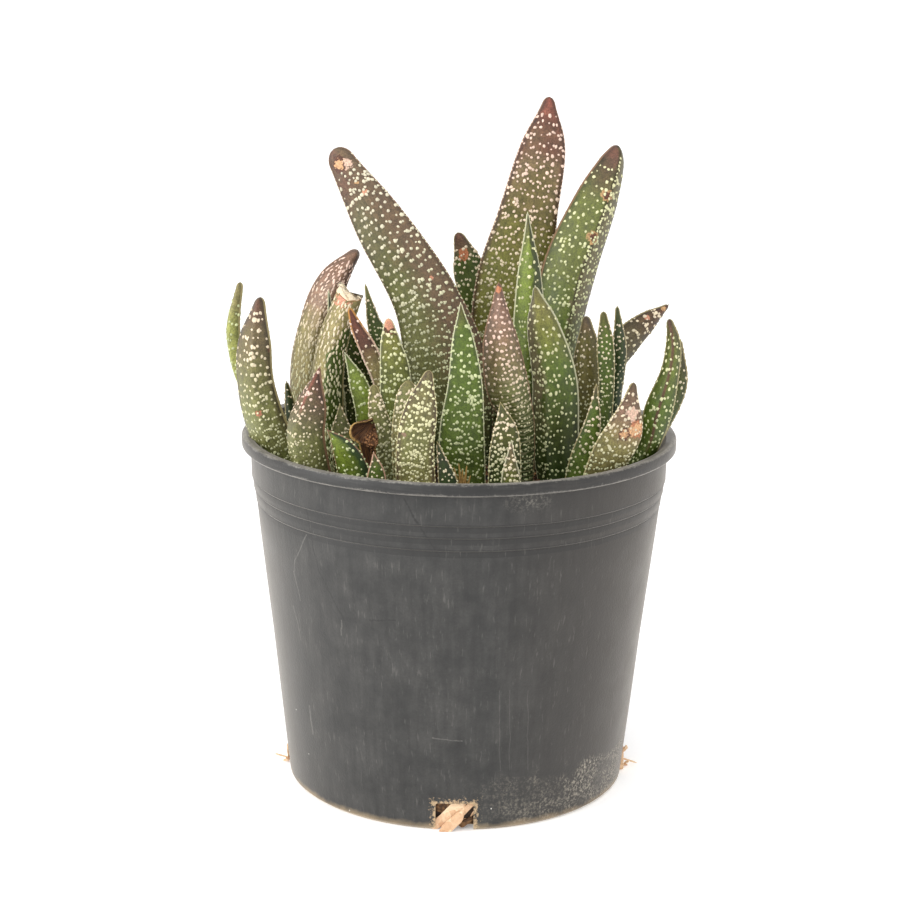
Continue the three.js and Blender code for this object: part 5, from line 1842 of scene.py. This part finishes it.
        ((46, 21, 122, 13), (47, 23, 146, 12), (47, 24, 160, 2)), keel=0.1),
    Leaf("back_right_outer", PURPLE_SKIN, PLAIN_DOTS, -155, 6,
        ((56, 25, 122, 10), (61, 28, 134, 10), (65, 30, 147, 2))),
)


def dress_rootstock() -> None:
    """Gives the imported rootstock, which keeps its shape, the skin of a fleshy root."""
    stock = bpy.data.objects["rootstock"]
    finish = FleshyRoot().material("fleshy_root_skin")
    for slot in stock.material_slots:
        slot.material = finish
    LOG.info("rootstock: packed shape kept")


# ---------------------------------------------------------------- stage

@dataclass
class Studio:
    """The white floor, soft light and camera.

    Args:
        eye: Where the camera is, in metres.
        lens: Its focal length in millimetres on a 36 mm sensor.
        pitch: How far it looks down, in degrees.
        yaw: How far it looks to its right, in degrees.
        roll: How far it is turned about its own axis, in degrees.
    """

    eye: Point = (0.0, -0.807, 0.333)
    lens: float = 84.08
    pitch: float = 13.97
    yaw: float = -0.25
    roll: float = 0.63

    def build(self) -> None:
        """Sets up floor, light and camera."""
        self.floor()
        self.light("left_box", (-1.5, -0.7, 0.8), 1.2, 21.0)
        self.light("front_box", (-0.4, -1.7, 1.5), 1.0, 9.0)
        self.light("right_box", (1.6, -0.5, 0.6), 1.0, 3.2)
        world = bpy.data.worlds.new("studio")
        world.use_nodes = True
        background = world.node_tree.nodes["Background"]
        background.inputs[0].default_value = (1, 1, 1, 1)
        background.inputs[1].default_value = 1.12
        bpy.context.scene.world = world
        bpy.context.scene.view_settings.view_transform = "Standard"
        self.camera()

    def floor(self) -> None:
        """Lays the white sheet, lit a little from behind, that the pot stands on."""
        bm = bmesh.new()
        bmesh.ops.create_grid(bm, x_segments=1, y_segments=1, size=6.0)
        material, add = new_material("matt_white_paper")
        place = add("TexCoord").outputs["Object"]
        tooth = add("TexNoise", {"Vector": place, "Scale": 1 / (2 * MM), "Detail": 2.0})
        bump = add("Bump", {"Height": tooth, "Strength": 0.1, "Distance": 0.05 * MM})
        paper = {"Base Color": (0.92, 0.92, 0.92, 1), "Roughness": 0.9, "Normal": bump,
                 "Emission Color": (1.0, 0.99, 0.98, 1), "Emission Strength": 0.22}
        add("OutputMaterial", {"Surface": add("BsdfPrincipled", paper)})
        floor = settle(bm, "floor", material)

    def light(self, name: str, place: Point, size: float, power: float) -> None:
        """Hangs a square soft box that looks at the middle of the plant.

        Args:
            name: The light's name.
            place: Where it hangs, in metres.
            size: Its side, in metres.
            power: Its power in watts.
        """
        data = bpy.data.lights.new(name, "AREA")
        data.energy, data.size = power, size
        lamp = bpy.data.objects.new(name, data)
        lamp.location = place
        lamp.rotation_euler = (Vector((0, 0, 0.13)) - Vector(place)).to_track_quat("-Z", "Y").to_euler()
        bpy.context.scene.collection.objects.link(lamp)

    def camera(self) -> None:
        """Sets up the camera."""
        data = bpy.data.cameras.new("camera")
        data.lens, data.sensor_width = self.lens, 36.0
        camera = bpy.data.objects.new("camera", data)
        pitch, yaw, roll = (math.radians(angle) for angle in (self.pitch, self.yaw, self.roll))
        look = Vector((math.sin(yaw) * math.cos(pitch), math.cos(yaw) * math.cos(pitch), -math.sin(pitch)))
        level = Vector((math.cos(yaw), -math.sin(yaw), 0))
        upright = level.cross(look)
        right = level * math.cos(roll) + upright * math.sin(roll)
        up = upright * math.cos(roll) - level * math.sin(roll)
        frame_axes = Matrix((right, up, -look)).transposed().to_4x4()
        camera.matrix_world = Matrix.Translation(self.eye) @ frame_axes
        bpy.context.scene.collection.objects.link(camera)
        bpy.context.scene.camera = camera


def main() -> None:
    """Builds the pot, the mix and the leaves, dresses the rootstock and sets the stage."""
    logging.basicConfig(level=logging.INFO, format="%(name)s: %(message)s")
    noise.seed_set(NOISE_SEED)
    pot = NurseryPot()
    pot.build()
    PottingMix(pot).build()
    dress_rootstock()
    FibreTuft().build()
    for leaf in LEAVES:
        leaf.build()
    Studio().build()


if __name__ == "__main__":
    main()
